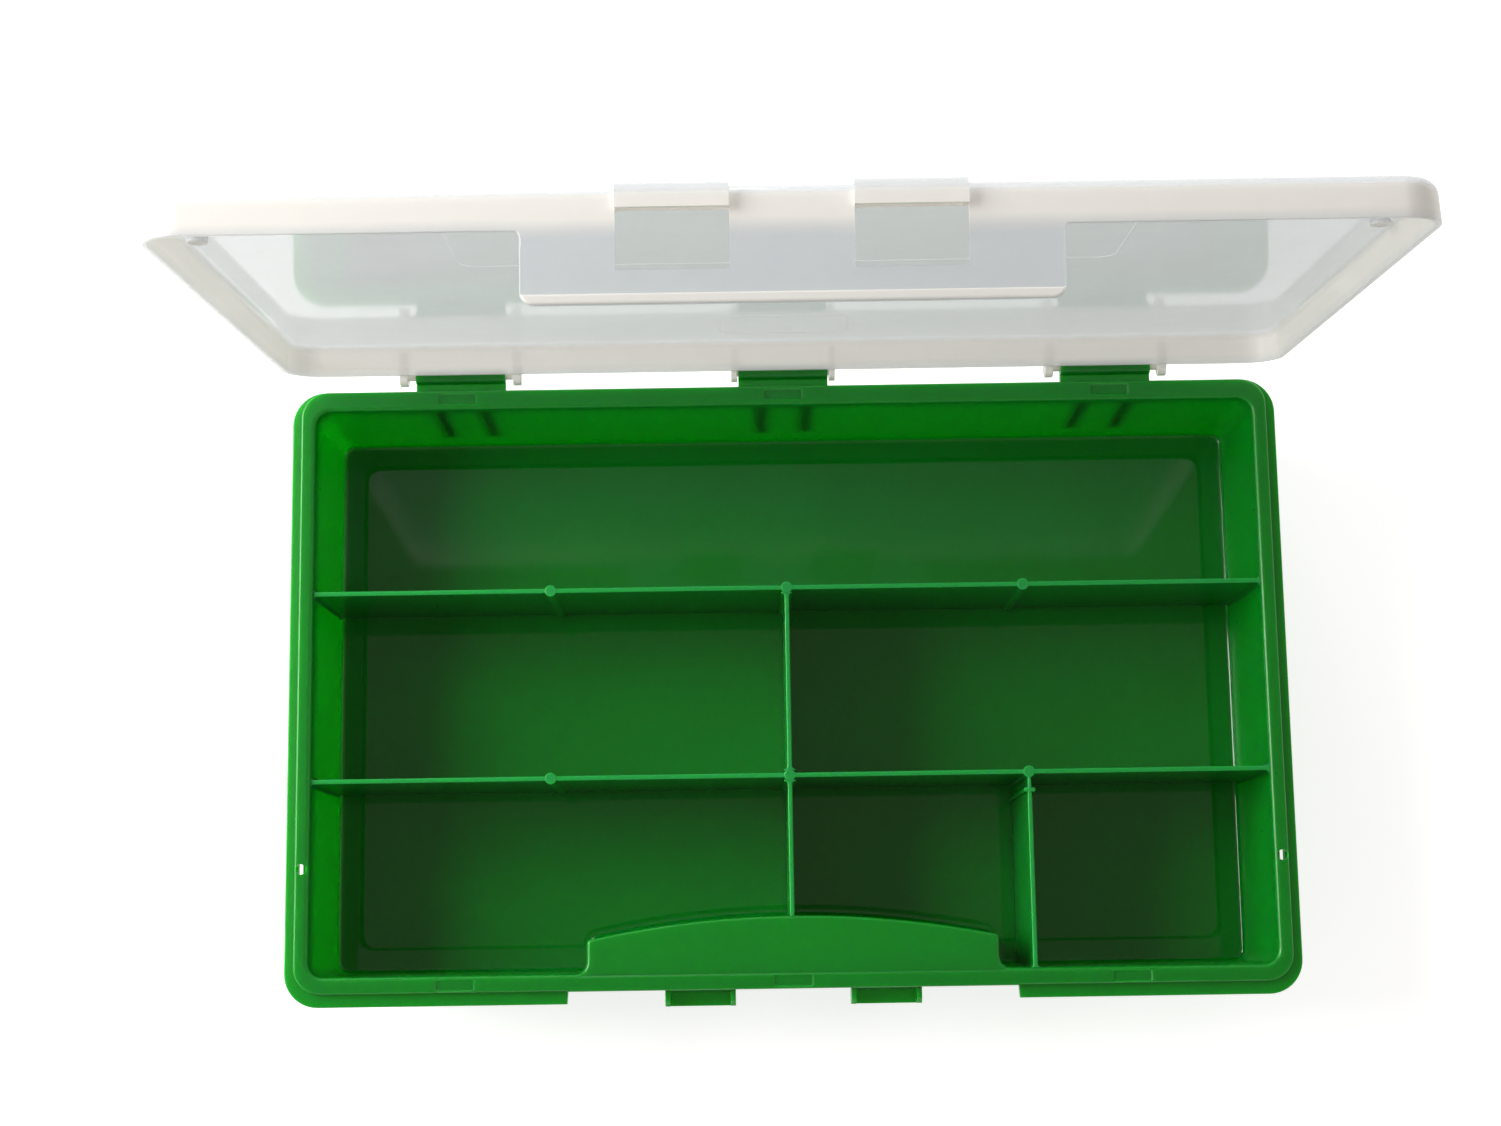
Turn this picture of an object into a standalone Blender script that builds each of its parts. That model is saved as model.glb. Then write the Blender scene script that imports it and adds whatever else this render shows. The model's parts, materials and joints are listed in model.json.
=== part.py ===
"""Flat tackle box: a green divided tray, and a translucent lid that snaps onto it.

The tray is one moulding with a stepped rim, six compartments, three hinge barrels on ribbed brackets and
two ramped catches. The lid hangs on six pins that reach into the barrels. Its front edge carries a sprung
tongue with two windows, which ride over the catches and snap under them. Sizes are in metres, with +Z up,
+Y to the hinge side and the origin under the middle of the tray.
"""
import math

import bmesh
import bpy
from mathutils import Matrix

# Tray
TRAY_WIDTH = 0.356
TRAY_DEPTH = 0.220
TRAY_HEIGHT = 0.056
WALL = 0.0022
FLOOR = 0.002
WALL_DRAFT = 0.0012
FLOOR_ROUND = 0.003
BASE_ROUND = 0.0025
PANEL_MARGIN = 0.006
PANEL_RISE = 0.0008

# Rim: a raised bead round the opening, and a lower ledge outside it that the lid rests on
LEDGE_SIDE = 0.0036
LEDGE_FRONT = 0.0046
LEDGE_BACK = 0.0006
LEDGE_DROP = 0.003
LEDGE_THICKNESS = 0.0025
LEDGE_CHAMFER = 0.0004
BEAD_SIDE = 0.0052
BEAD_FRONT = 0.0058
BEAD_BACK = 0.007
BEAD_CHAMFER = 0.0008
RIM_ROUND = 0.0016
LEDGE_RADIUS = 0.012
BEAD_RADIUS = 0.0095
OPENING_RADIUS = 0.0055
RIM_POCKET_LENGTH = 0.0128
RIM_POCKET_WIDTH = 0.003
RIM_POCKET_DEPTH = 0.0004
RIM_POCKET_PITCH = 0.118
SOCKET_DIAMETER = 0.0036
SOCKET_DEPTH = 0.002
SOCKET_FROM_FRONT = 0.048

# Front finger recess, arched into the tray under a plate at rim level
ARCH_WIDTH = 0.144
ARCH_REACH = 0.0191
ARCH_SAG = 0.0075
ARCH_FLARE = 0.003
ARCH_ROUND = 0.0015
ARCH_STEP = 0.0008
PLATE_THICKNESS = 0.0025
FRONT_BEAM_DEPTH = 0.0115
FRONT_BEAM_THICKNESS = 0.0022
FRONT_GAP_WIDTH = 0.1576

# Snap catches and the windows that take them
CATCH_PITCH = 0.065
CATCH_WIDTH = 0.0246
CATCH_CHEEK = 0.0018
CATCH_NOSE = 0.0018
RAMP_START = 0.0011
WINDOW_WIDTH = 0.031
WINDOW_TOP = 0.0057
WINDOW_DROP = 0.0112

# Dividers
DIVIDER_THICKNESS = 0.0018
DIVIDER_DROP = 0.0015
POST_DIAMETER = 0.0044
POST_PITCH = 0.0845
REAR_DIVIDER_FROM_BACK = 0.0743
FRONT_DIVIDER_FROM_FRONT = 0.0786

# Lid
LID_HEIGHT = 0.0126
LID_WALL = 0.0016
LID_PANEL = 0.0018
LID_OVERHANG = 0.001
LID_BACK_OVERHANG = 0.002
LID_DRAFT = 0.0006
LID_EDGE_ROUND = 0.0045
LID_RADIUS = 0.013
LID_OPEN_DEG = 86.0
PAD_PROUD = 0.0018
PAD_RISE = 0.0003
PAD_OVERLAP = 0.0055
PAD_CHAMFER = 0.0012
BOSS_DIAMETER = 0.006
BOSS_HEIGHT = 0.0015

# Front tongue of the lid
TONGUE_WIDTH = 0.148
TONGUE_DROP = 0.0182
TONGUE_LIP = 0.0026
TONGUE_LIP_PROUD = 0.0012
TONGUE_CORNER = 0.004
TONGUE_FLARE = 0.0025
TONGUE_FLEX_DEG = 14.0

# Hinge
HINGE_PITCH = 0.117
HINGE_WIDTH = 0.0324
HINGE_BEHIND_LID = 0.003
HINGE_BELOW_RIM = 0.0002
ARM_ROOT = 0.0025
ARM_ROOT_DROP = 0.0035
GUSSET_PITCH = 0.0164
GUSSET_THICKNESS = 0.002
GUSSET_DROP = 0.036
GUSSET_FOOT = 0.0004
PIN_DIAMETER = 0.0023
PIN_REACH = 0.004
EAR_RADIUS = 0.0033
EAR_HEIGHT = 0.0085
EAR_TOP_WIDTH = 0.0003
EAR_SLOPE_DEG = 30.0
EAR_WIDTH_MIDDLE = 0.0022
EAR_WIDTH_OUTER = 0.003
EAR_GAP_MIDDLE = 0.0004
EAR_GAP_OUTER = 0.0028
BARREL_WALL = 0.0011

# Clearances between pieces, and how far one solid reaches into another that it is joined to or cut from
GAP = 0.0003
EDGE_GAP = 0.0006
PIN_CLEARANCE = 0.00035
EMBED = 0.001

# Fineness of the round shapes
CORNER_STEPS = 6
ROUND_STEPS = 3
CIRCLE_SEGMENTS = 20
ARCH_STEPS = 16

# Levels and planes that follow from the sizes above
LEDGE_LEVEL = TRAY_HEIGHT - LEDGE_DROP
LEDGE_UNDERSIDE = LEDGE_LEVEL - LEDGE_THICKNESS
FRONT = -TRAY_DEPTH / 2
BACK = TRAY_DEPTH / 2
BEAD_FACE = FRONT + LEDGE_FRONT
OPENING_SIDE = TRAY_WIDTH / 2 - LEDGE_SIDE - BEAD_SIDE
OPENING_FRONT = BEAD_FACE + BEAD_FRONT
OPENING_BACK = BACK - LEDGE_BACK - BEAD_BACK
BEAM_FACE = BEAD_FACE - GAP
ARCH_APEX = OPENING_FRONT + ARCH_REACH
ARCH_HALF = ARCH_WIDTH / 2
DIVIDER_TOP = TRAY_HEIGHT - DIVIDER_DROP
DIVIDER_BOTTOM = FLOOR + PANEL_RISE + GAP
REAR_DIVIDER = BACK - REAR_DIVIDER_FROM_BACK
FRONT_DIVIDER = FRONT + FRONT_DIVIDER_FROM_FRONT

LID_RIM = LEDGE_LEVEL + GAP
LID_TOP = LID_RIM + LID_HEIGHT
LID_CEILING = LID_TOP - LID_PANEL
LID_FRONT = FRONT - LID_OVERHANG
LID_BACK = BACK + LID_BACK_OVERHANG
CATCH_NOSE_FACE = LID_FRONT - GAP
HOOK_LEVEL = LID_RIM - WINDOW_DROP
CATCH_BOTTOM = HOOK_LEVEL + GAP
HINGE_Y = LID_BACK + HINGE_BEHIND_LID
HINGE_Z = LID_RIM - HINGE_BELOW_RIM
UNDER_LID = LID_RIM - EDGE_GAP
BORE_RADIUS = PIN_DIAMETER / 2 + PIN_CLEARANCE
BARREL_RADIUS = BORE_RADIUS + BARREL_WALL
TONGUE_Y = LID_FRONT + LID_WALL / 2
TONGUE_TOP = LID_RIM - GAP - LID_WALL / 2 * math.sin(math.radians(TONGUE_FLEX_DEG))

# Plastics
GREEN = (0.0100, 0.2070, 0.0250, 1.0)
DIVIDER_GREEN = (0.0140, 0.2400, 0.0370, 1.0)
MILKY = (0.7300, 0.7600, 0.7600, 1.0)
GREEN_ROUGHNESS = 0.32
MILKY_ROUGHNESS = 0.25
MILKY_TRANSMISSION = 0.6


def remove_everything():
    """Empty the scene of its objects."""
    for thing in list(bpy.data.objects):
        bpy.data.objects.remove(thing, do_unlink=True)


def new_collection(name):
    """A new collection under the scene."""
    group = bpy.data.collections.new(name)
    bpy.context.scene.collection.children.link(group)
    return group


def plastic(name, colour, roughness, transmission=0.0):
    """A moulded plastic."""
    material = bpy.data.materials.new(name)
    material.use_nodes = True
    shader = material.node_tree.nodes["Principled BSDF"]
    shader.inputs["Base Color"].default_value = colour
    shader.inputs["Roughness"].default_value = roughness
    shader.inputs["Metallic"].default_value = 0.0
    shader.inputs["Transmission Weight"].default_value = transmission
    return material


def milky_plastic(name):
    """The lid's translucent plastic."""
    return plastic(name, MILKY, MILKY_ROUGHNESS, MILKY_TRANSMISSION)


def mesh_object(name, bm, group, origin=(0.0, 0.0, 0.0), parent=None):
    """An object from a bmesh drawn in place, with its origin moved to a point of the closed box."""
    offset = [-value for value in origin]
    bmesh.ops.translate(bm, verts=bm.verts, vec=offset)
    bmesh.ops.recalc_face_normals(bm, faces=bm.faces)
    mesh = bpy.data.meshes.new(name)
    bm.to_mesh(mesh)
    bm.free()
    thing = bpy.data.objects.new(name, mesh)
    group.objects.link(thing)
    if parent is None:
        thing.location = origin
    else:
        thing.parent = parent
        thing.location = [here - there for here, there in zip(origin, parent["axis"])]
    return thing


def add_box(bm, x, y, z):
    """A box between pairs of x, y and z, from a unit cube."""
    made = bmesh.ops.create_cube(bm, size=1.0)["verts"]
    bmesh.ops.scale(bm, verts=made, vec=(x[1] - x[0], y[1] - y[0], z[1] - z[0]))
    bmesh.ops.translate(bm, verts=made, vec=(sum(x) / 2, sum(y) / 2, sum(z) / 2))


def add_rod(bm, centre, radius, length, turn):
    """A round rod about a centre, along X or along Z."""
    made = bmesh.ops.create_cone(
        bm, cap_ends=True, segments=CIRCLE_SEGMENTS, radius1=radius, radius2=radius, depth=length
    )["verts"]
    if turn == "X":
        quarter = Matrix.Rotation(math.pi / 2, 3, "Y")
        bmesh.ops.rotate(bm, verts=made, cent=(0, 0, 0), matrix=quarter)
    bmesh.ops.translate(bm, verts=made, vec=centre)


def add_prism(bm, outline, plane, start, end):
    """A flat outline drawn in the plane "yz", "xz" or "xy", carried straight from start to end."""
    order = {"yz": (2, 0, 1), "xz": (0, 2, 1), "xy": (0, 1, 2)}[plane]

    def at(point, level):
        flat = (point[0], point[1], level)
        return [flat[index] for index in order]

    face = bm.faces.new([bm.verts.new(at(point, start)) for point in outline])
    moved = bmesh.ops.extrude_face_region(bm, geom=[face])["geom"]
    shift = at((0, 0), end - start)
    tops = [item for item in moved if isinstance(item, bmesh.types.BMVert)]
    bmesh.ops.translate(bm, verts=tops, vec=shift)


def arc(centre, radius, first, last, steps):
    """Points on a circle between two angles in degrees."""
    turns = [math.radians(first + (last - first) * step / steps) for step in range(steps + 1)]
    return [(centre[0] + radius * math.cos(turn), centre[1] + radius * math.sin(turn)) for turn in turns]


def rounded_ring(side, front, back, radius, level):
    """A level rounded rectangle, symmetric in x, as a list of points."""
    corners = (
        ((side - radius, back - radius), 0),
        ((radius - side, back - radius), 90),
        ((radius - side, front + radius), 180),
        ((side - radius, front + radius), 270),
    )
    flat = []
    for centre, first in corners:
        flat += arc(centre, radius, first, first + 90, CORNER_STEPS)
    return [(x, y, level) for x, y in flat]


def add_loft(bm, rings):
    """A closed solid through a row of rings with the same number of points."""
    loops = [[bm.verts.new(point) for point in ring] for ring in rings]
    for lower, upper in zip(loops, loops[1:]):
        for index, corner in enumerate(lower):
            bm.faces.new((corner, lower[index - 1], upper[index - 1], upper[index]))
    bm.faces.new(loops[0])
    bm.faces.new(loops[-1])


def combine(target, operation, operands):
    """Join solids to an object, or cut them from it."""
    for operand in operands:
        step = target.modifiers.new(f"{operation.lower()} {operand.name}", "BOOLEAN")
        step.operation = operation
        step.solver = "EXACT"
        step.object = operand
        operand.hide_render = True
        operand.display_type = "WIRE"


def round_edges(thing, width, segments=2):
    """Round the sharp edges of an object."""
    bevel = thing.modifiers.new("rounded edges", "BEVEL")
    bevel.width = width
    bevel.segments = segments
    bevel.limit_method = "ANGLE"
    bevel.angle_limit = math.radians(40)


def quarter_steps():
    """Sine and cosine of even steps through a quarter turn."""
    turns = [math.pi / 2 * step / ROUND_STEPS for step in range(ROUND_STEPS + 1)]
    return [(math.sin(turn), math.cos(turn)) for turn in turns]


def tray_ring(inset, radius, level, more=0.0):
    """A ring of the tray, set in from the ledge's outer edge by (side, front, back) and a further inset."""
    side, front, back = (value + more for value in inset)
    return rounded_ring(TRAY_WIDTH / 2 - side, FRONT + front, BACK - back, radius - more, level)


def tray_shell(bm):
    """Loft the tray from its underside, up the outside, over the rim and down to the inner floor."""
    ledge = (0.0, 0.0, 0.0)
    bead = (LEDGE_SIDE, LEDGE_FRONT, LEDGE_BACK)
    opening = (LEDGE_SIDE + BEAD_SIDE, LEDGE_FRONT + BEAD_FRONT, LEDGE_BACK + BEAD_BACK)
    outside = tuple(value - WALL for value in opening)
    foot = tuple(value + WALL_DRAFT for value in outside)
    well = tuple(value + WALL_DRAFT for value in opening)
    wall_radius = OPENING_RADIUS + WALL
    rings = []
    for sine, cosine in quarter_steps():
        rings.append(tray_ring(foot, wall_radius, BASE_ROUND * (1 - cosine), BASE_ROUND * (1 - sine)))
    rings.append(tray_ring(outside, wall_radius, LEDGE_UNDERSIDE))
    rings.append(tray_ring(ledge, LEDGE_RADIUS, LEDGE_UNDERSIDE, LEDGE_CHAMFER))
    rings.append(tray_ring(ledge, LEDGE_RADIUS, LEDGE_UNDERSIDE + LEDGE_CHAMFER))
    rings.append(tray_ring(ledge, LEDGE_RADIUS, LEDGE_LEVEL - LEDGE_CHAMFER))
    rings.append(tray_ring(ledge, LEDGE_RADIUS, LEDGE_LEVEL, LEDGE_CHAMFER))
    rings.append(tray_ring(bead, BEAD_RADIUS, LEDGE_LEVEL))
    rings.append(tray_ring(bead, BEAD_RADIUS, TRAY_HEIGHT - BEAD_CHAMFER))
    rings.append(tray_ring(bead, BEAD_RADIUS, TRAY_HEIGHT, BEAD_CHAMFER))
    for sine, cosine in quarter_steps():
        level = TRAY_HEIGHT - RIM_ROUND * (1 - cosine)
        rings.append(tray_ring(opening, OPENING_RADIUS, level, RIM_ROUND * (sine - 1)))
    for sine, cosine in quarter_steps():
        level = FLOOR + FLOOR_ROUND * (1 - sine)
        rings.append(tray_ring(well, OPENING_RADIUS, level, FLOOR_ROUND * (1 - cosine)))
    panel = tuple(value + FLOOR_ROUND + PANEL_MARGIN for value in well)
    rings.append(tray_ring(panel, OPENING_RADIUS, FLOOR))
    rings.append(tray_ring(panel, OPENING_RADIUS, FLOOR + PANEL_RISE, PANEL_RISE))
    add_loft(bm, rings)


def arch_outline(inset, front, flare=0.0):
    """The finger recess in plan: straight sides that may flare into the front wall, and an arched back."""
    half = ARCH_HALF - inset
    radius = (ARCH_HALF ** 2 + ARCH_SAG ** 2) / (2 * ARCH_SAG)
    spread = math.degrees(math.asin(half / (radius - inset)))
    back = arc((0, ARCH_APEX - radius), radius - inset, 90 - spread, 90 + spread, ARCH_STEPS)
    if not flare:
        return [(-half, front), (half, front)] + back
    right = arc((half + flare, OPENING_FRONT + flare), flare, 270, 180, ROUND_STEPS)
    left = [(-x, y) for x, y in right]
    return [(-half - flare, front), (half + flare, front)] + right + back + left[::-1]


def catch_profile():
    """The outline of a catch's cheeks in the yz plane."""
    top = UNDER_LID
    wall = BEAM_FACE + FRONT_BEAM_THICKNESS / 2
    return [
        (wall, CATCH_BOTTOM),
        (wall, top),
        (CATCH_NOSE_FACE + CATCH_NOSE, top),
        (CATCH_NOSE_FACE, top - CATCH_NOSE),
        (CATCH_NOSE_FACE, CATCH_BOTTOM),
    ]


def ramp_profile():
    """The outline of the space over a catch's ramp, between its cheeks."""
    over = TRAY_HEIGHT
    high = UNDER_LID - RAMP_START
    low = CATCH_BOTTOM + CATCH_NOSE
    return [
        (BEAM_FACE, high),
        (BEAM_FACE, over),
        (CATCH_NOSE_FACE - CATCH_NOSE, over),
        (CATCH_NOSE_FACE - CATCH_NOSE, low),
        (CATCH_NOSE_FACE, low),
    ]


def barrel_profile():
    """The outline of a hinge bracket: an arm under the lid's edge and a round barrel on the axis."""
    meet = 180 - math.degrees(math.asin((UNDER_LID - HINGE_Z) / BARREL_RADIUS))
    barrel = arc((HINGE_Y, HINGE_Z), BARREL_RADIUS, meet, -90, CIRCLE_SEGMENTS)
    root = BACK - ARM_ROOT
    return [(root, UNDER_LID - ARM_ROOT_DROP), (root, UNDER_LID)] + barrel


def gusset_profile():
    """The outline of a rib under a hinge bracket, tapering down the tray's back wall."""
    core = OPENING_BACK + (WALL - WALL_DRAFT) / 2
    top = UNDER_LID - ARM_ROOT_DROP / 2
    low = LEDGE_UNDERSIDE - GUSSET_DROP
    return [(core, low), (core, top), (LID_BACK, top), (OPENING_BACK + WALL + GUSSET_FOOT, low)]


def ear_profile():
    """The outline of an ear: a gusset down the lid's back wall that ends in a round eye on the axis."""
    inside = LID_BACK - LID_WALL / 2
    top = LID_RIM + EAR_HEIGHT
    eye = arc((HINGE_Y, HINGE_Z), EAR_RADIUS, EAR_SLOPE_DEG, -180, CIRCLE_SEGMENTS)
    return [(inside, LID_RIM + GAP), (inside, top), (LID_BACK + EAR_TOP_WIDTH, top)] + eye


def hinge_places():
    """Each hinge's centre in x, with its ears' gap and width."""
    for index in (-1, 0, 1):
        if index:
            yield index * HINGE_PITCH, EAR_GAP_OUTER, EAR_WIDTH_OUTER
        else:
            yield 0.0, EAR_GAP_MIDDLE, EAR_WIDTH_MIDDLE


def bead_rows():
    """The middles of the bead's flat top along the front and the back, in y."""
    front = (BEAD_FACE + BEAD_CHAMFER + OPENING_FRONT - RIM_ROUND) / 2
    back = (OPENING_BACK + RIM_ROUND + BACK - LEDGE_BACK - BEAD_CHAMFER) / 2
    return front, back


def bead_middle():
    """The middle of the bead's flat top along the right side, in x."""
    return OPENING_SIDE + (RIM_ROUND + BEAD_SIDE - BEAD_CHAMFER) / 2


def build_tray(group, tools):
    """The tray with its rim, finger recess, catches and hinge barrels."""
    bm = bmesh.new()
    tray_shell(bm)
    tray = mesh_object("tray", bm, group)

    bm = bmesh.new()
    add_prism(bm, arch_outline(0.0, BEAM_FACE + GAP, ARCH_FLARE), "xy", GAP, TRAY_HEIGHT - ARCH_STEP)
    arch = mesh_object("arch block", bm, tools)
    round_edges(arch, ARCH_ROUND)

    bm = bmesh.new()
    half = FRONT_GAP_WIDTH / 2
    add_box(bm, (-half, half), (FRONT - EMBED, BEAM_FACE), (LEDGE_UNDERSIDE - EMBED, TRAY_HEIGHT + EMBED))
    ledge_gap = mesh_object("front ledge gap", bm, tools)

    bm = bmesh.new()
    behind_beam = BEAM_FACE + FRONT_BEAM_THICKNESS
    add_prism(bm, arch_outline(WALL, behind_beam), "xy", -EMBED, TRAY_HEIGHT - PLATE_THICKNESS)
    pocket = mesh_object("finger pocket", bm, tools)

    bm = bmesh.new()
    half = ARCH_HALF - WALL
    beam_bottom = TRAY_HEIGHT - FRONT_BEAM_DEPTH
    add_box(bm, (-half, half), (FRONT - EMBED, behind_beam + EMBED), (-EMBED, beam_bottom))
    mouth = mesh_object("finger pocket mouth", bm, tools)

    bm = bmesh.new()
    half = ARCH_HALF + ARCH_FLARE + EMBED
    add_box(bm, (-half, half), (FRONT - EMBED, OPENING_FRONT - WALL), (-EMBED, beam_bottom))
    trim = mesh_object("recess side trim", bm, tools)

    bm = bmesh.new()
    for side in (-1, 1):
        centre = side * CATCH_PITCH / 2
        add_prism(bm, catch_profile(), "yz", centre - CATCH_WIDTH / 2, centre + CATCH_WIDTH / 2)
    catches = mesh_object("catch blocks", bm, tools)

    bm = bmesh.new()
    half = CATCH_WIDTH / 2 - CATCH_CHEEK
    for side in (-1, 1):
        centre = side * CATCH_PITCH / 2
        add_prism(bm, ramp_profile(), "yz", centre - half, centre + half)
    ramps = mesh_object("catch ramps", bm, tools)

    bm = bmesh.new()
    for centre, _, _ in hinge_places():
        add_prism(bm, barrel_profile(), "yz", centre - HINGE_WIDTH / 2, centre + HINGE_WIDTH / 2)
    barrels = mesh_object("hinge barrels", bm, tools)

    bm = bmesh.new()
    half = GUSSET_THICKNESS / 2
    for centre, _, _ in hinge_places():
        for side in (-1, 1):
            middle = centre + side * GUSSET_PITCH / 2
            add_prism(bm, gusset_profile(), "yz", middle - half, middle + half)
    gussets = mesh_object("hinge gussets", bm, tools)

    bm = bmesh.new()
    for centre, _, _ in hinge_places():
        add_rod(bm, (centre, HINGE_Y, HINGE_Z), BORE_RADIUS, HINGE_WIDTH + 2 * EMBED, "X")
    bores = mesh_object("hinge bores", bm, tools)

    bm = bmesh.new()
    for row in bead_rows():
        for index in (-1, 0, 1):
            x = index * RIM_POCKET_PITCH
            add_box(
                bm,
                (x - RIM_POCKET_LENGTH / 2, x + RIM_POCKET_LENGTH / 2),
                (row - RIM_POCKET_WIDTH / 2, row + RIM_POCKET_WIDTH / 2),
                (TRAY_HEIGHT - RIM_POCKET_DEPTH, TRAY_HEIGHT + EMBED),
            )
    for side in (-1, 1):
        place = (side * bead_middle(), FRONT + SOCKET_FROM_FRONT, TRAY_HEIGHT)
        add_rod(bm, place, SOCKET_DIAMETER / 2, 2 * SOCKET_DEPTH, "Z")
    marks = mesh_object("rim pockets and sockets", bm, tools)

    combine(tray, "UNION", [arch])
    combine(tray, "DIFFERENCE", [ledge_gap, pocket, mouth, trim])
    combine(tray, "UNION", [catches, barrels, gussets])
    combine(tray, "DIFFERENCE", [ramps, bores, marks])
    tray.data.materials.append(plastic("green polypropylene tray", GREEN, GREEN_ROUGHNESS))
    return tray


def divider_ends(first, last, slope):
    """The outline of a divider plate between two walls, each (place, has a drafted foot)."""
    outline = []
    for (place, drafted), sign in ((first, 1), (last, -1)):
        top = place + sign * GAP
        if drafted:
            foot = place + sign * (GAP + slope)
            shoulder = DIVIDER_BOTTOM + FLOOR_ROUND
            end = [(top, DIVIDER_TOP), (foot, shoulder), (foot + sign * FLOOR_ROUND, DIVIDER_BOTTOM)]
        else:
            end = [(top, DIVIDER_TOP), (top, DIVIDER_BOTTOM)]
        outline += end if sign > 0 else end[::-1]
    return outline


def build_dividers(group, tools):
    """Two long dividers with round posts, and three short ones between them and the front."""
    material = plastic("green polypropylene divider", DIVIDER_GREEN, GREEN_ROUGHNESS)
    half = DIVIDER_THICKNESS / 2
    for name, y in (("long_divider_rear", REAR_DIVIDER), ("long_divider_front", FRONT_DIVIDER)):
        bm = bmesh.new()
        outline = divider_ends((-OPENING_SIDE, True), (OPENING_SIDE, True), WALL_DRAFT)
        add_prism(bm, outline, "xz", y - half, y + half)
        plate = mesh_object(name, bm, group, (0.0, y, 0.0))
        bm = bmesh.new()
        for index in (-1, 0, 1):
            place = (index * POST_PITCH, y, (DIVIDER_BOTTOM + DIVIDER_TOP) / 2)
            add_rod(bm, place, POST_DIAMETER / 2, DIVIDER_TOP - DIVIDER_BOTTOM, "Z")
        posts = mesh_object(f"{name} posts", bm, tools)
        combine(plate, "UNION", [posts])
        plate.data.materials.append(material)

    post = POST_DIAMETER / 2
    spans = (
        ("cross_divider_middle", 0.0, (FRONT_DIVIDER + post, False), (REAR_DIVIDER - post, False)),
        ("cross_divider_front_centre", 0.0, (ARCH_APEX, False), (FRONT_DIVIDER - post, False)),
        ("cross_divider_front_right", POST_PITCH, (OPENING_FRONT, True), (FRONT_DIVIDER - post, False)),
    )
    for name, x, first, last in spans:
        bm = bmesh.new()
        add_prism(bm, divider_ends(first, last, WALL_DRAFT), "yz", x - half, x + half)
        plate = mesh_object(name, bm, group, (x, (first[0] + last[0]) / 2, 0.0))
        plate.data.materials.append(material)


def lid_ring(inset, level, radius=LID_RADIUS):
    """A ring of the lid, set in from its outer edge."""
    side = TRAY_WIDTH / 2 + LID_OVERHANG - inset
    return rounded_ring(side, LID_FRONT + inset, LID_BACK - inset, radius - inset, level)


def lid_shell(bm):
    """Loft the lid from the top of its panel, down the outside, under the rim and up to the ceiling."""
    rings = []
    for sine, cosine in quarter_steps():
        inset = LID_DRAFT + LID_EDGE_ROUND * (1 - sine)
        rings.append(lid_ring(inset, LID_TOP - LID_EDGE_ROUND * (1 - cosine)))
    rings.append(lid_ring(0.0, LID_RIM))
    rings.append(lid_ring(LID_WALL, LID_RIM))
    inner_round = LID_EDGE_ROUND - LID_WALL
    for sine, cosine in quarter_steps():
        inset = LID_DRAFT + LID_WALL + inner_round * (1 - cosine)
        rings.append(lid_ring(inset, LID_CEILING - inner_round * (1 - sine)))
    add_loft(bm, rings)


def pad_profile():
    """The outline of the raised pad over a window, wrapped over the lid's top edge."""
    core = LID_FRONT + LID_DRAFT + LID_WALL / 2
    outer = LID_FRONT - PAD_PROUD
    top = LID_TOP + PAD_RISE
    back = LID_FRONT + PAD_OVERLAP
    return [
        (core, LID_RIM + WINDOW_TOP),
        (outer, LID_RIM + WINDOW_TOP),
        (outer, top - PAD_CHAMFER),
        (outer + PAD_CHAMFER, top),
        (back, top),
        (back, LID_TOP - LID_PANEL / 2),
        (core + LID_WALL, LID_TOP - LID_PANEL),
        (core, LID_TOP - LID_EDGE_ROUND),
    ]


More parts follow.
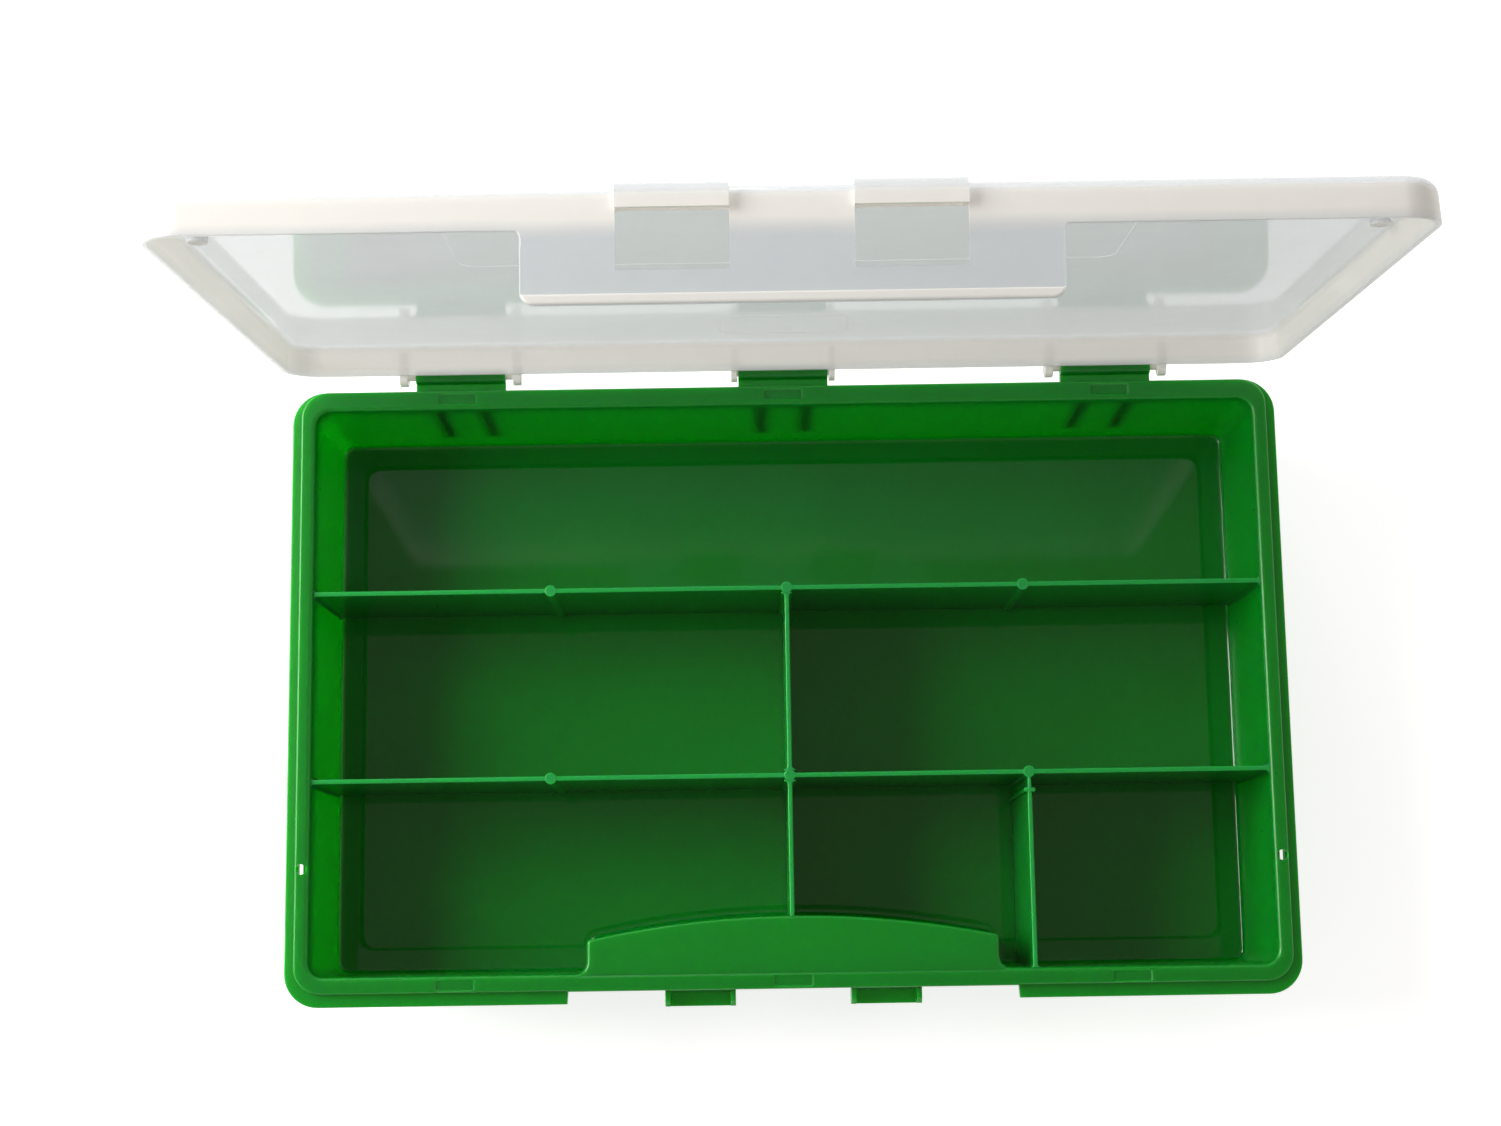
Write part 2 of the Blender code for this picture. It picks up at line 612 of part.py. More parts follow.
def build_lid(group, tools, axis):
    """The lid, drawn shut and turned open about the hinge by its parent."""
    point = axis["axis"]
    bm = bmesh.new()
    lid_shell(bm)
    lid = mesh_object("lid", bm, group, point, axis)

    bm = bmesh.new()
    half = WINDOW_WIDTH / 2
    for side in (-1, 1):
        centre = side * CATCH_PITCH / 2
        add_prism(bm, pad_profile(), "yz", centre - half, centre + half)
    pads = mesh_object("window pads", bm, tools, point, axis)

    bm = bmesh.new()
    skin = PAD_PROUD - LID_WALL
    for side in (-1, 1):
        centre = side * CATCH_PITCH / 2
        add_box(
            bm,
            (centre - half + LID_WALL, centre + half - LID_WALL),
            (LID_FRONT - skin, LID_FRONT + LID_WALL + EMBED),
            (LID_RIM - EMBED, LID_TOP - LID_EDGE_ROUND),
        )
    hollows = mesh_object("pad hollows", bm, tools, point, axis)

    bm = bmesh.new()
    for side in (-1, 1):
        centre = side * CATCH_PITCH / 2
        add_box(
            bm,
            (centre - half, centre + half),
            (LID_FRONT - EMBED, LID_FRONT + LID_WALL + EMBED),
            (LID_RIM - EMBED, LID_RIM + WINDOW_TOP),
        )
    notches = mesh_object("window notches", bm, tools, point, axis)

    bm = bmesh.new()
    for centre, gap, width in hinge_places():
        for side in (-1, 1):
            inner = centre + side * (HINGE_WIDTH / 2 + gap)
            outer = inner + side * width
            add_prism(bm, ear_profile(), "yz", min(inner, outer), max(inner, outer))
    ears = mesh_object("hinge ears", bm, tools, point, axis)

    bm = bmesh.new()
    for centre, gap, width in hinge_places():
        for side in (-1, 1):
            length = width / 2 + gap + PIN_REACH
            middle = centre + side * (HINGE_WIDTH / 2 - PIN_REACH + length / 2)
            add_rod(bm, (middle, HINGE_Y, HINGE_Z), PIN_DIAMETER / 2, length, "X")
    pins = mesh_object("hinge pins", bm, tools, point, axis)

    bm = bmesh.new()
    for side in (-1, 1):
        place = (side * bead_middle(), FRONT + SOCKET_FROM_FRONT, LID_CEILING)
        add_rod(bm, place, BOSS_DIAMETER / 2, 2 * BOSS_HEIGHT, "Z")
    bosses = mesh_object("locating bosses", bm, tools, point, axis)

    combine(lid, "UNION", [pads])
    combine(lid, "DIFFERENCE", [notches, hollows])
    combine(lid, "UNION", [ears, pins, bosses])
    lid.data.materials.append(milky_plastic("translucent polypropylene lid"))
    return lid


def tongue_outline():
    """The tongue seen from the front, with rounded lower corners and a root that flares into the lid's edge."""
    half = TONGUE_WIDTH / 2
    bottom = LID_RIM - TONGUE_DROP - TONGUE_LIP
    left = arc((TONGUE_CORNER - half, bottom + TONGUE_CORNER), TONGUE_CORNER, 180, 270, CORNER_STEPS)
    right = arc((half - TONGUE_CORNER, bottom + TONGUE_CORNER), TONGUE_CORNER, 270, 360, CORNER_STEPS)
    flare = arc((half + TONGUE_FLARE, TONGUE_TOP - TONGUE_FLARE), TONGUE_FLARE, 180, 90, ROUND_STEPS)
    mirrored = [(-x, z) for x, z in flare]
    return left + right + flare + mirrored[::-1]


def build_tongue(group, tools, axis):
    """The lid's front tongue, with its windows and pull lip, on its bending line."""
    point = (0.0, TONGUE_Y, LID_RIM)
    inner = LID_FRONT + LID_WALL
    bm = bmesh.new()
    add_prism(bm, tongue_outline(), "xz", LID_FRONT, inner)
    tongue = mesh_object("latch_tongue", bm, group, point, axis)

    bm = bmesh.new()
    half = TONGUE_WIDTH / 2 - TONGUE_CORNER
    bottom = LID_RIM - TONGUE_DROP - TONGUE_LIP
    add_box(
        bm,
        (-half, half),
        (LID_FRONT - TONGUE_LIP_PROUD, inner - GAP),
        (bottom + GAP, bottom + TONGUE_LIP),
    )
    lip = mesh_object("pull lip", bm, tools, point, axis)
    round_edges(lip, TONGUE_LIP_PROUD / 2)

    bm = bmesh.new()
    half = WINDOW_WIDTH / 2
    for side in (-1, 1):
        centre = side * CATCH_PITCH / 2
        add_box(
            bm,
            (centre - half, centre + half),
            (LID_FRONT - EMBED, inner + EMBED),
            (HOOK_LEVEL, LID_RIM + EMBED),
        )
    windows = mesh_object("tongue windows", bm, tools, point, axis)

    combine(tongue, "UNION", [lip])
    combine(tongue, "DIFFERENCE", [windows])
    tongue.data.materials.append(milky_plastic("translucent polypropylene tongue"))
    return tongue


def hinge_axis(group):
    """An empty on the hinge line, turned to the open angle."""
    axis = bpy.data.objects.new("lid hinge axis", None)
    group.objects.link(axis)
    axis["axis"] = (0.0, HINGE_Y, HINGE_Z)
    axis.location = axis["axis"]
    axis.rotation_euler = (-math.radians(LID_OPEN_DEG), 0.0, 0.0)
    return axis


def main():
    """Build the tackle box with its lid open."""
    remove_everything()
    parts = new_collection("tackle box")
    tools = new_collection("tackle box cutters")
    build_tray(parts, tools)
    build_dividers(parts, tools)
    axis = hinge_axis(parts)
    build_lid(parts, tools, axis)
    build_tongue(parts, tools, axis)
    bpy.context.view_layer.update()


if __name__ == "__main__":
    main()
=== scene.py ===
"""Looks of a flat tackle box: its moulded surfaces, its two plastics, a pale floor, soft light and a camera.

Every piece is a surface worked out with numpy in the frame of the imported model, in metres. The tray's pieces
are drawn in place. The lid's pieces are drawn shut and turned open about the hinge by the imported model's own
angle.
"""
import json
import math
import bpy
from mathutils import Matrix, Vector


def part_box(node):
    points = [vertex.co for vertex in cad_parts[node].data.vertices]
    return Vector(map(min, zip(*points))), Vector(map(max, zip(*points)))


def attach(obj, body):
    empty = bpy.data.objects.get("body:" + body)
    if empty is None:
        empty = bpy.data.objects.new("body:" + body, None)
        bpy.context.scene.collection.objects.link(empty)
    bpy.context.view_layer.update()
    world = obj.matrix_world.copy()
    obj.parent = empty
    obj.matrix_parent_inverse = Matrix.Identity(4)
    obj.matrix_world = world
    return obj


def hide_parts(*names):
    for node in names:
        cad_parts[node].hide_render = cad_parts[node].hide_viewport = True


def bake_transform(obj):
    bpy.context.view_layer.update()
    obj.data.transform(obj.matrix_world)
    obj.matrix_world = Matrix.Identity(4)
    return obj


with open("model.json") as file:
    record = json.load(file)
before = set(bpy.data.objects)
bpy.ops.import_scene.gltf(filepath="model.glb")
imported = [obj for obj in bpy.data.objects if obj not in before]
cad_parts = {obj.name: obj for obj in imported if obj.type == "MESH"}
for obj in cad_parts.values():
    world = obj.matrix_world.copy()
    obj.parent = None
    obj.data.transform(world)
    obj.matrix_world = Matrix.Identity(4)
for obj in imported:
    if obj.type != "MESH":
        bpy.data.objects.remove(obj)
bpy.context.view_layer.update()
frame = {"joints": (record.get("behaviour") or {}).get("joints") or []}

from types import SimpleNamespace

import bpy
import numpy as np
from bpy.props import FloatProperty, FloatVectorProperty, PointerProperty
from mathutils import Matrix, Vector

bl_info = {
    "name": "Tackle box looks",
    "version": (1, 0, 0),
    "blender": (4, 5, 0),
    "location": "3D View > Sidebar > Tackle Box",
    "description": "Moulded surfaces, plastics and stage of a flat tackle box with a translucent lid",
    "category": "Object",
}

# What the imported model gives: its boxes, the hinge and the lid's angle at rest
TRAY_LOW, TRAY_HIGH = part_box("tray")
JOINTS = {joint["name"]: joint for joint in frame["joints"]}
HINGE = np.array(JOINTS["lid_hinge"]["pos_m"])
OPEN_ANGLE = math.radians(JOINTS["lid_hinge"]["range_deg"][0])

# Steps along the curves of the moulded surfaces
STRAIGHT_STEPS = 8
FLARE_STEPS = 7
SIDE_STEPS = 4
CORNER_STEPS = 8
ARCH_STEPS = 44
TURN_STEPS = 12
EDGE_STEPS = 5
CIRCLE_STEPS = 40
APRON_STEPS = 5
FILLET_STEPS = 3
BEVEL_STEPS = 2

# The smallest radius, the narrow strip that closes a step, and how far a piece reaches into what it grows
# from, in metres
FINE = 0.0003
SLIT = 0.00015
ROOT = 0.0004
SHARP_ANGLE = math.radians(38)
SIDES = (-1, 1)

# Angles of the rim's inner rounding in degrees, one for each ring
RIM_ANGLES = (0, 8, 17, 26, 35, 44, 56, 68, 80, 90)
# The step from the bead down to the recess's plate, as shares of its run and its fall, its longest run in
# metres, and how many times faster than the flare the plain rim changes into it
STEP_CURVE = ((0.0, 0.0), (0.3, 0.08), (0.55, 0.35), (0.75, 0.75), (1.0, 1.0))
STEP_RUN = 0.0011
STEP_RATE = 3
# Where the skin turns behind and under the beam, as shares of the way from the wall to the ledge's edge
BEAM_SHARES = (0.35, 0.7)
# The middle of the tongue's rounded lower edge, as shares of the rounding across it and under it
TURN_ACROSS = 0.7
TURN_UNDER = 0.3
# A post's flat ring and its dish, in roundings in from its side, and a pin's tip as a share of its diameter
DISH = (1.6, 2.4)
PIN_TIP = 0.8

# Polypropylene's index of refraction, and how far red, green and blue travel in the green one, as shares
POLYPROPYLENE_IOR = 1.49
GREEN_TRAVEL = (0.08, 1.0, 0.06)
# Height over the ground up to which the tray is polished, and from which it is satin, in metres
POLISHED_BELOW = 0.0024
SATIN_ABOVE = 0.003
# Unevenness of the green plastic's gloss, the share and depth of its relief, and the turn of its hairlines
SMEAR = 0.015
RELIEF_SHARE = 0.02
RELIEF_DEPTH = 0.0002
HAIRLINE_TURN = 0.6
# How thick a wholly thick milky piece counts, how much clouds add to that, and the range of the shine's frost
THICK = 0.9
CLOUD_SHARE = 0.2
FROST_RANGE = (0.7, 1.3)
WHITE = (1.0, 1.0, 1.0, 1.0)
CARD_ROUGHNESS = 0.9

# The camera's place in metres and its turn in degrees, found from the rim and the open lid in the photograph,
# its sensor's width in millimetres, and the nearest and furthest that it sees, in metres
CAMERA_PLACE = (-0.01213, -0.09730, 0.90652)
CAMERA_TURN = (9.4603, 0.1858, -0.8531)
SENSOR = 36.0
CAMERA_CLIP = (0.01, 50.0)
# The window's middle, to the left, a little behind and above, and its width, in metres
WINDOW_PLACE = (-1.12, 0.32, 0.8)
WINDOW_SIZE = 0.8
# The rear lamp's middle, low enough to reach the back wall under the open lid, and its width, in metres
REAR_PLACE = (-0.15, 0.8, 0.22)
REAR_SIZE = 0.3
# Heights of a direction between which the horizon's light gives way to the zenith's, and depths between
# which the front's strength gives way to the back's
SKY_RISE = (0.3, 0.8)
ROOM_DEPTH = (-0.8, 0.4)


def linear(code):
    """An sRGB hex value as linear red, green and blue."""
    shares = [int(code[place:place + 2], 16) / 255 for place in (1, 3, 5)]
    return tuple(s / 12.92 if s <= 0.04045 else ((s + 0.055) / 1.055) ** 2.4 for s in shares)


def length(name, default, description):
    """A length in metres that a user can change."""
    return FloatProperty(
        name=name, description=description, default=default, min=0.0, precision=5, unit="LENGTH"
    )


def amount(name, default, description, low=0.0, high=1.0):
    """A plain number that a user can change."""
    return FloatProperty(name=name, description=description, default=default, min=low, max=high, precision=3)


def colour(name, code, description):
    """A colour that a user can change, given as an sRGB hex value."""
    return FloatVectorProperty(
        name=name, description=description, default=linear(code), size=3, min=0.0, max=1.0, subtype="COLOR"
    )


class TrayShape(bpy.types.PropertyGroup):
    """Sizes of the tray's walls, floor and rim."""

    depth: length("Depth", 0.220, "Outside depth over the rim's ledge")
    wall: length("Wall", 0.0022, "Thickness of the walls")
    floor: length("Floor", 0.002, "Thickness of the floor")
    draft: length("Draft", 0.0012, "How far the walls lean in from the rim to the floor")
    floor_round: length("Floor fillet", 0.0018, "Fillet between the walls and the floor")
    base_round: length("Base rounding", 0.0025, "Rounding under the tray")
    panel_margin: length("Panel margin", 0.006, "Flat border round the raised floor panel")
    panel_rise: length("Panel rise", 0.0002, "Height of the raised floor panel")
    panel_slope: length("Panel slope", 0.002, "Width of the slope round the raised floor panel")
    panel_radius: length("Panel radius", 0.005, "Corner radius of the raised floor panel")
    ledge_side: length("Side ledge", 0.0036, "Width of the ledge along the sides")
    ledge_front: length("Front ledge", 0.0046, "Width of the ledge along the front")
    ledge_back: length("Back ledge", 0.0006, "Width of the ledge along the back")
    ledge_drop: length("Ledge drop", 0.003, "How far the ledge lies under the rim")
    ledge_thickness: length("Ledge thickness", 0.0025, "Thickness of the ledge")
    ledge_round: length("Ledge rounding", 0.0005, "Rounding of the ledge's edges")
    ledge_radius: length("Ledge radius", 0.012, "Corner radius of the ledge")
    bead_side: length("Side bead", 0.0052, "Width of the raised bead along the sides")
    bead_front: length("Front bead", 0.0058, "Width of the raised bead along the front")
    bead_back: length("Back bead", 0.007, "Width of the raised bead along the back")
    bead_round: length("Bead rounding", 0.0008, "Rounding of the bead's outer edge")
    bead_radius: length("Bead radius", 0.0095, "Corner radius of the bead")
    rim_round: length("Rim rounding", 0.0016, "Rounding of the bead's inner edge")
    opening_radius: length("Opening radius", 0.0055, "Corner radius of the opening")
    pocket_length: length("Pocket length", 0.0128, "Length of the shallow pockets in the bead")
    pocket_width: length("Pocket width", 0.003, "Width of the shallow pockets in the bead")
    pocket_depth: length("Pocket depth", 0.0006, "Depth of the shallow pockets in the bead")
    pocket_edge: length("Pocket edge", 0.0004, "Chamfer round the shallow pockets")
    pocket_pitch: length("Pocket pitch", 0.118, "Distance between the shallow pockets")
    socket: length("Socket", 0.0036, "Diameter of the locating holes in the bead's sides")
    socket_depth: length("Socket depth", 0.002, "Depth of the locating holes")
    socket_place: length("Socket place", 0.048, "Distance of the locating holes from the front")


class RecessShape(bpy.types.PropertyGroup):
    """Sizes of the finger recess and the snap catches."""

    width: length("Width", 0.144, "Width of the arched recess")
    reach: length("Reach", 0.0191, "How far the arch reaches into the tray")
    sag: length("Arch height", 0.0075, "Height of the arch over its ends")
    flare: length("Flare", 0.0042, "Fillet between the recess and the front wall")
    corner: length("Corner", 0.0016, "Rounding of the plate's two corners")
    edge: length("Plate edge", 0.0013, "Rounding of the plate's edge")
    step: length("Plate step", 0.0008, "How far the plate lies under the rim")
    plate: length("Plate", 0.0025, "Depth of the plate's underside under the rim")
    gap: length("Ledge gap", 0.1576, "Width of the gap in the front ledge")
    beam_depth: length("Beam depth", 0.0115, "Depth of the beam under the front of the plate")
    beam: length("Beam", 0.0022, "Thickness of the beam")
    beam_set: length("Beam set", 0.0003, "How far the beam stands in front of the bead")
    catch_pitch: length("Catch pitch", 0.065, "Distance between the two catches")
    catch_width: length("Catch width", 0.0246, "Width of a catch")
    catch_cheek: length("Cheek", 0.0018, "Thickness of a catch's cheeks")
    catch_nose: length("Nose", 0.0018, "Chamfer and lip at a catch's nose")
    catch_height: length("Catch height", 0.0103, "Height of a catch")
    catch_drop: length("Catch drop", 0.0033, "How far a catch's top lies under the rim")
    ramp_start: length("Ramp start", 0.0011, "How far a ramp starts under its cheeks")


class HingeShape(bpy.types.PropertyGroup):
    """Sizes of the hinge brackets, ears and pins."""

    pitch: length("Pitch", 0.117, "Distance between the three hinges")
    width: length("Width", 0.0324, "Width of a bracket")
    barrel: length("Barrel", 0.0052, "Diameter of a barrel")
    bore: length("Bore", 0.003, "Diameter of a barrel's bore")
    arm_drop: length("Arm drop", 0.0004, "How far an arm's top lies under the axis")
    arm_root: length("Arm root", 0.0035, "Depth of an arm where it leaves the tray")
    arm_length: length("Arm length", 0.0075, "Length of an arm from its root to the axis")
    gusset_pitch: length("Gusset pitch", 0.0164, "Distance between the two ribs under an arm")
    gusset: length("Gusset", 0.002, "Thickness of a rib")
    gusset_drop: length("Gusset drop", 0.036, "How far a rib reaches down the back wall")
    pin: length("Pin", 0.0023, "Diameter of a pin")
    pin_reach: length("Pin reach", 0.004, "How far a pin reaches into its barrel")
    eye: length("Eye", 0.0066, "Diameter of an ear's round end")
    ear_height: length("Ear height", 0.0085, "Height of an ear up the lid's back wall")
    ear_slope: amount(
        "Ear slope", 30.0, "Angle of an ear's edge where it meets its eye, in degrees", 0.0, 90.0
    )
    ear_middle: length("Middle ear", 0.0022, "Thickness of the middle hinge's ears")
    ear_outer: length("Outer ear", 0.003, "Thickness of the outer hinges' ears")
    gap_middle: length("Middle gap", 0.0004, "Gap between the middle hinge's ears and its bracket")
    gap_outer: length("Outer gap", 0.0028, "Gap between the outer hinges' ears and their brackets")


class DividerShape(bpy.types.PropertyGroup):
    """Sizes of the dividers."""

    thickness: length("Thickness", 0.0016, "Thickness at the top")
    foot: length("Foot", 0.0022, "Thickness at the floor")
    drop: length("Drop", 0.0015, "How far the tops lie under the rim")
    edge: length("Edge", 0.00035, "Rounding of the tops' edges")
    fillet: length("Fillet", 0.0012, "Fillet at a wall or a post")
    post: length("Post", 0.0042, "Diameter of the posts")
    post_edge: length("Post edge", 0.0004, "Rounding of a post's top")
    post_pitch: length("Post pitch", 0.0845, "Distance between the posts")
    rear: length("Rear place", 0.0743, "Distance of the rear divider from the back")
    front: length("Front place", 0.0786, "Distance of the front divider from the front")
    neck: length("Neck", 0.0011, "Thickness of the front right divider beside its post")
    neck_length: length("Neck length", 0.0035, "Length of that neck")
    pip: length("Pip", 0.0016, "Diameter of the two pips at the neck's end")


class LidShape(bpy.types.PropertyGroup):
    """Sizes of the lid and its snap tongue."""

    height: length("Height", 0.0126, "Height of the lid over its rim")
    wall: length("Wall", 0.0016, "Thickness of the skirt")
    panel: length("Panel", 0.0018, "Thickness of the panel")
    overhang: length("Overhang", 0.001, "How far the lid overhangs the tray's sides and front")
    draft: length("Draft", 0.0006, "How far the skirt leans in from the rim to the panel")
    edge: length("Edge", 0.0045, "Rounding between the skirt and the panel")
    radius: length("Radius", 0.013, "Corner radius of the lid")
    rim_over_hinge: length("Rim level", 0.0002, "How far the rim lies over the hinge's axis when shut")
    back_to_hinge: length("Back to hinge", 0.003, "Distance of the skirt's back from the hinge's axis")
    rim_round: length("Rim rounding", 0.0004, "Rounding of the skirt's lower edge")
    tongue_width: length("Tongue width", 0.148, "Width of the snap tongue")
    tongue_drop: length("Tongue drop", 0.0208, "How far the tongue hangs under the rim")
    tongue_corner: length("Tongue corner", 0.004, "Rounding of the tongue's lower corners")
    tongue_flare: length("Tongue flare", 0.0025, "Fillet where the tongue leaves the rim")
    bend: length("Bend", 0.003, "Length of the tongue's root that bends")
    lip: length("Lip", 0.003, "Height of the pull lip")
    lip_proud: length("Lip proud", 0.0012, "How far the pull lip stands out")
    window_width: length("Window width", 0.031, "Width of a window")
    window_top: length("Window top", 0.0057, "How far a window reaches over the rim")
    window_drop: length("Window drop", 0.0112, "How far a window reaches under the rim")
    pad_proud: length("Pad proud", 0.0018, "How far a pad stands out over its window")
    pad_rise: length("Pad rise", 0.0003, "How far a pad stands over the panel")
    pad_overlap: length("Pad overlap", 0.0055, "How far a pad reaches over the panel")
    pad_edge: length("Pad edge", 0.0017, "Rounding of a pad's outer edge")
    boss: length("Boss", 0.006, "Diameter of the locating bosses")
    boss_height: length("Boss height", 0.0015, "Height of the locating bosses")
    line: length("Mould line", 0.0007, "Width of the raised lines on the panel")
    line_height: length("Line height", 0.00025, "Height of the raised lines")
    frame_width: length("Frame width", 0.202, "Width of the wide frame")
    frame_reach: length("Frame reach", 0.092, "Distance of the wide frame's far side from the front")
    frame_corner: length("Frame corner", 0.006, "Corner radius of both frames")
    small_width: length("Small frame width", 0.045, "Width of the small frame")
    small_place: length("Small frame place", 0.02, "Distance of the small frame from the hinge")
    small_reach: length("Small frame reach", 0.03, "Depth of the small frame")


class Plastics(bpy.types.PropertyGroup):
    """Colours and finish of the two plastics."""

    green: colour("Green", "#038420", "Tray's green")
    green_deep: colour("Deep green", "#02791C", "Green where the melt ran thicker")
    # Painted shade: the inner back wall is painted darker where a hinge rib stands behind it
    green_rib_painted_shade: colour("Rib green", "#035A14", "Tray's green where a hinge rib backs the wall")
    divider: colour("Divider green", "#068C2A", "Dividers' green")
    # Painted light: the tops of the plates and posts are painted paler, as a glow
    divider_top_painted_glow: colour("Divider tops", "#1C9E48", "Dividers' green along their top edges")
    milky: colour("Milky", "#D9DEE4", "Lid's clear part")
    # Painted light: besides cloudier melt, this is the colour the lid's skirt is painted, with the thick tint
    # and clarity
    milky_cloud_and_painted_light: colour("Cloud", "#FEFCF8", "Lid where the melt is cloudier")
    milky_thick: colour("Thick tint", "#E4E2DF", "Tint of what is seen straight through the thick plastic")
    gloss: amount("Floor roughness", 0.005, "Roughness of the polished floor")
    satin: amount("Satin roughness", 0.27, "Roughness of the walls and the rim")
    glow: amount("Glow", 1.0, "Share of the green plastic's light that has travelled inside it")
    travel: length("Light travel", 0.013, "How far green light travels inside the tray's plastic")
    divider_travel: length(
        "Divider travel", 0.003, "How far green light travels inside the dividers' plastic"
    )
    clarity: amount("Clarity", 0.55, "Share of light that goes straight through a face of the lid")
    thick_clarity: amount("Thick clarity", 0.25, "The same share where the lid is thick")
    lamp_clarity: amount(
        "Lamp clarity", 0.67, "Share of a lamp's light that goes straight through a face of the lid"
    )
    milk: amount("Milk", 0.15, "Share of the scattered light that leaves on the lid's other side")
    mirror: amount("Mirror", 0.7, "Share of a clear sheet's shine that the frosted lid keeps")
    frost: amount("Frost", 0.07, "Roughness of the lid's shine")


class Stage(bpy.types.PropertyGroup):
    """Floor, lamps and camera."""

    floor_size: length("Floor size", 40.0, "Width of the floor")
    floor: colour("Floor", "#D2D2D0", "Colour of the floor")
    floor_glow: amount("Floor glow", 0.72, "Light that the floor adds to what is seen of it")
    horizon: colour("Horizon", "#FFFFFF", "Light from the horizon")
    zenith: colour("Zenith", "#958E87", "Light from overhead")
    front: amount("Front", 0.7, "Strength of the surrounding light at the front", 0.0, 10.0)
    back: amount("Back", 0.95, "Strength of the surrounding light at the back", 0.0, 10.0)
    window: amount("Window", 22.0, "Power of the window at the left, in watts", 0.0, 1000.0)
    rear: amount("Rear lamp", 1.5, "Power of the low lamp at the back, in watts", 0.0, 1000.0)
    lens: amount("Lens", 57.81, "Focal length in millimetres on a 36 mm sensor", 1.0, 500.0)


def row(*columns):
    """Columns of coordinates as an array of points, single numbers repeated to the length of the rest."""
    return np.column_stack(np.broadcast_arrays(*columns))


def arc(centre, radius, first, last, count):
    """Points on a circle, evenly spaced between two angles in degrees: centre + radius (cos t, sin t)."""
    turn = np.radians(np.linspace(first, last, count))
    return row(centre[0] + radius * np.cos(turn), centre[1] + radius * np.sin(turn))


def circle(centre, radius):
    """Points evenly round a circle, anticlockwise, with the first not repeated."""
    return arc(centre, radius, 0.0, 360.0, CIRCLE_STEPS + 1)[:-1]


def path_share(path):
    """Each point's share of a path's length, from 0 at its start to 1 at its end."""
    steps = np.hypot(*np.diff(path, axis=0).T)
    return np.concatenate(([0.0], np.cumsum(steps))) / steps.sum()


def inner(first, last, count):
    """Evenly spaced numbers strictly between two others."""
    return np.linspace(first, last, count + 2)[1:-1]


def smooth(share):
    """The smooth step 3 t^2 - 2 t^3 of a share held between 0 and 1."""
    held = np.clip(share, 0.0, 1.0)
    return held * held * (3 - 2 * held)


def quarter(count):
    """Sines and cosines of even steps through a quarter turn, one pair a row."""
    turn = np.linspace(0.0, math.pi / 2, count)
    return row(np.sin(turn), np.cos(turn))


def loft(rings):
    """A closed skin over rings of equal counts, as points and faces, with flat caps on the first and last."""
    rings = np.asarray(rings)
    rows, count, _ = rings.shape
    index = np.arange(rows * count).reshape(rows, count)
    after = np.roll(index, -1, axis=1)
    quads = np.stack((index[:-1], after[:-1], after[1:], index[1:]), axis=-1).reshape(-1, 4)
    return rings.reshape(-1, 3), quads.tolist() + [index[0, ::-1].tolist(), index[-1].tolist()]


def prism(profile, start, end):
    """A closed outline in the yz plane, anticlockwise seen from +X, carried along x from start to end."""
    profile = np.asarray(profile)
    return loft([row(x, profile[:, 0], profile[:, 1]) for x in (start, end)])


def block(low, high):
    """A plain block between two corners."""
    (left, front, bottom), (right, back, top) = low, high
    return prism([(front, bottom), (back, bottom), (back, top), (front, top)], left, right)


def pillar(centre, radii, levels):
    """A turned solid about a vertical line: rings of the given radii at the given levels."""
    plan = circle((0.0, 0.0), 1.0)
    return loft([row(*(centre + radius * plan).T, level) for radius, level in zip(radii, levels)])


def rounded_plan(low, high, radius):
    """A rectangle between two corners, anticlockwise, each corner a quarter circle."""
    (left, front), (right, back) = low, high
    turns = (
        ((right - radius, front + radius), -90),
        ((right - radius, back - radius), 0),
        ((left + radius, back - radius), 90),
        ((left + radius, front + radius), 180),
    )
    return np.concatenate([arc(centre, radius, first, first + 90, EDGE_STEPS) for centre, first in turns])


def pocket_solid(centre, size, level, depth, edge):
    """A shallow pocket's cutter: a rounded rectangle with steep sides and a chamfer through the surface."""
    reach = np.array(size) / 2
    lean = edge / 2
    rings = []
    for rise, grow in ((-depth, 0.0), (-edge, lean), (edge, lean + 2 * edge)):
        plan = rounded_plan(centre - reach - grow, centre + reach + grow, FINE + grow)
        rings.append(row(plan[:, 0], plan[:, 1], level + rise))
    return loft(rings)


def join(solids):
    """Several solids as one list of points and faces."""
    points = np.concatenate([solid[0] for solid in solids])
    starts = np.cumsum([0] + [len(solid[0]) for solid in solids])
    faces = [[corner + start for corner in face] for solid, start in zip(solids, starts) for face in solid[1]]
    return points, faces


def opened(solid):
    """A solid of the shut lid turned open about the hinge: p' = h + R (p - h)."""
    turn = np.array(Matrix.Rotation(OPEN_ANGLE, 3, "X"))
    return (solid[0] - HINGE) @ turn.T + HINGE, solid[1]


def mesh_object(name, solid):
    """An object at the origin with its place in its mesh."""
    mesh = bpy.data.meshes.new(name)
    mesh.from_pydata(solid[0].tolist(), [], solid[1])
    mesh.update()
    thing = bpy.data.objects.new(name, mesh)
    bpy.context.scene.collection.objects.link(thing)
    return thing


def carve(thing, solid, operation):
    """Cut a solid from an object, or join it on, and keep the result as the object's own mesh."""
    tool = mesh_object(f"{thing.name}_tool", solid)
    step = thing.modifiers.new(operation.title(), "BOOLEAN")
    step.operation = operation
    step.solver = "EXACT"
    step.object = tool
    result = thing.evaluated_get(bpy.context.evaluated_depsgraph_get())
    mesh = bpy.data.meshes.new_from_object(result)
    thing.modifiers.clear()
    thing.data = mesh
    bpy.data.objects.remove(tool)


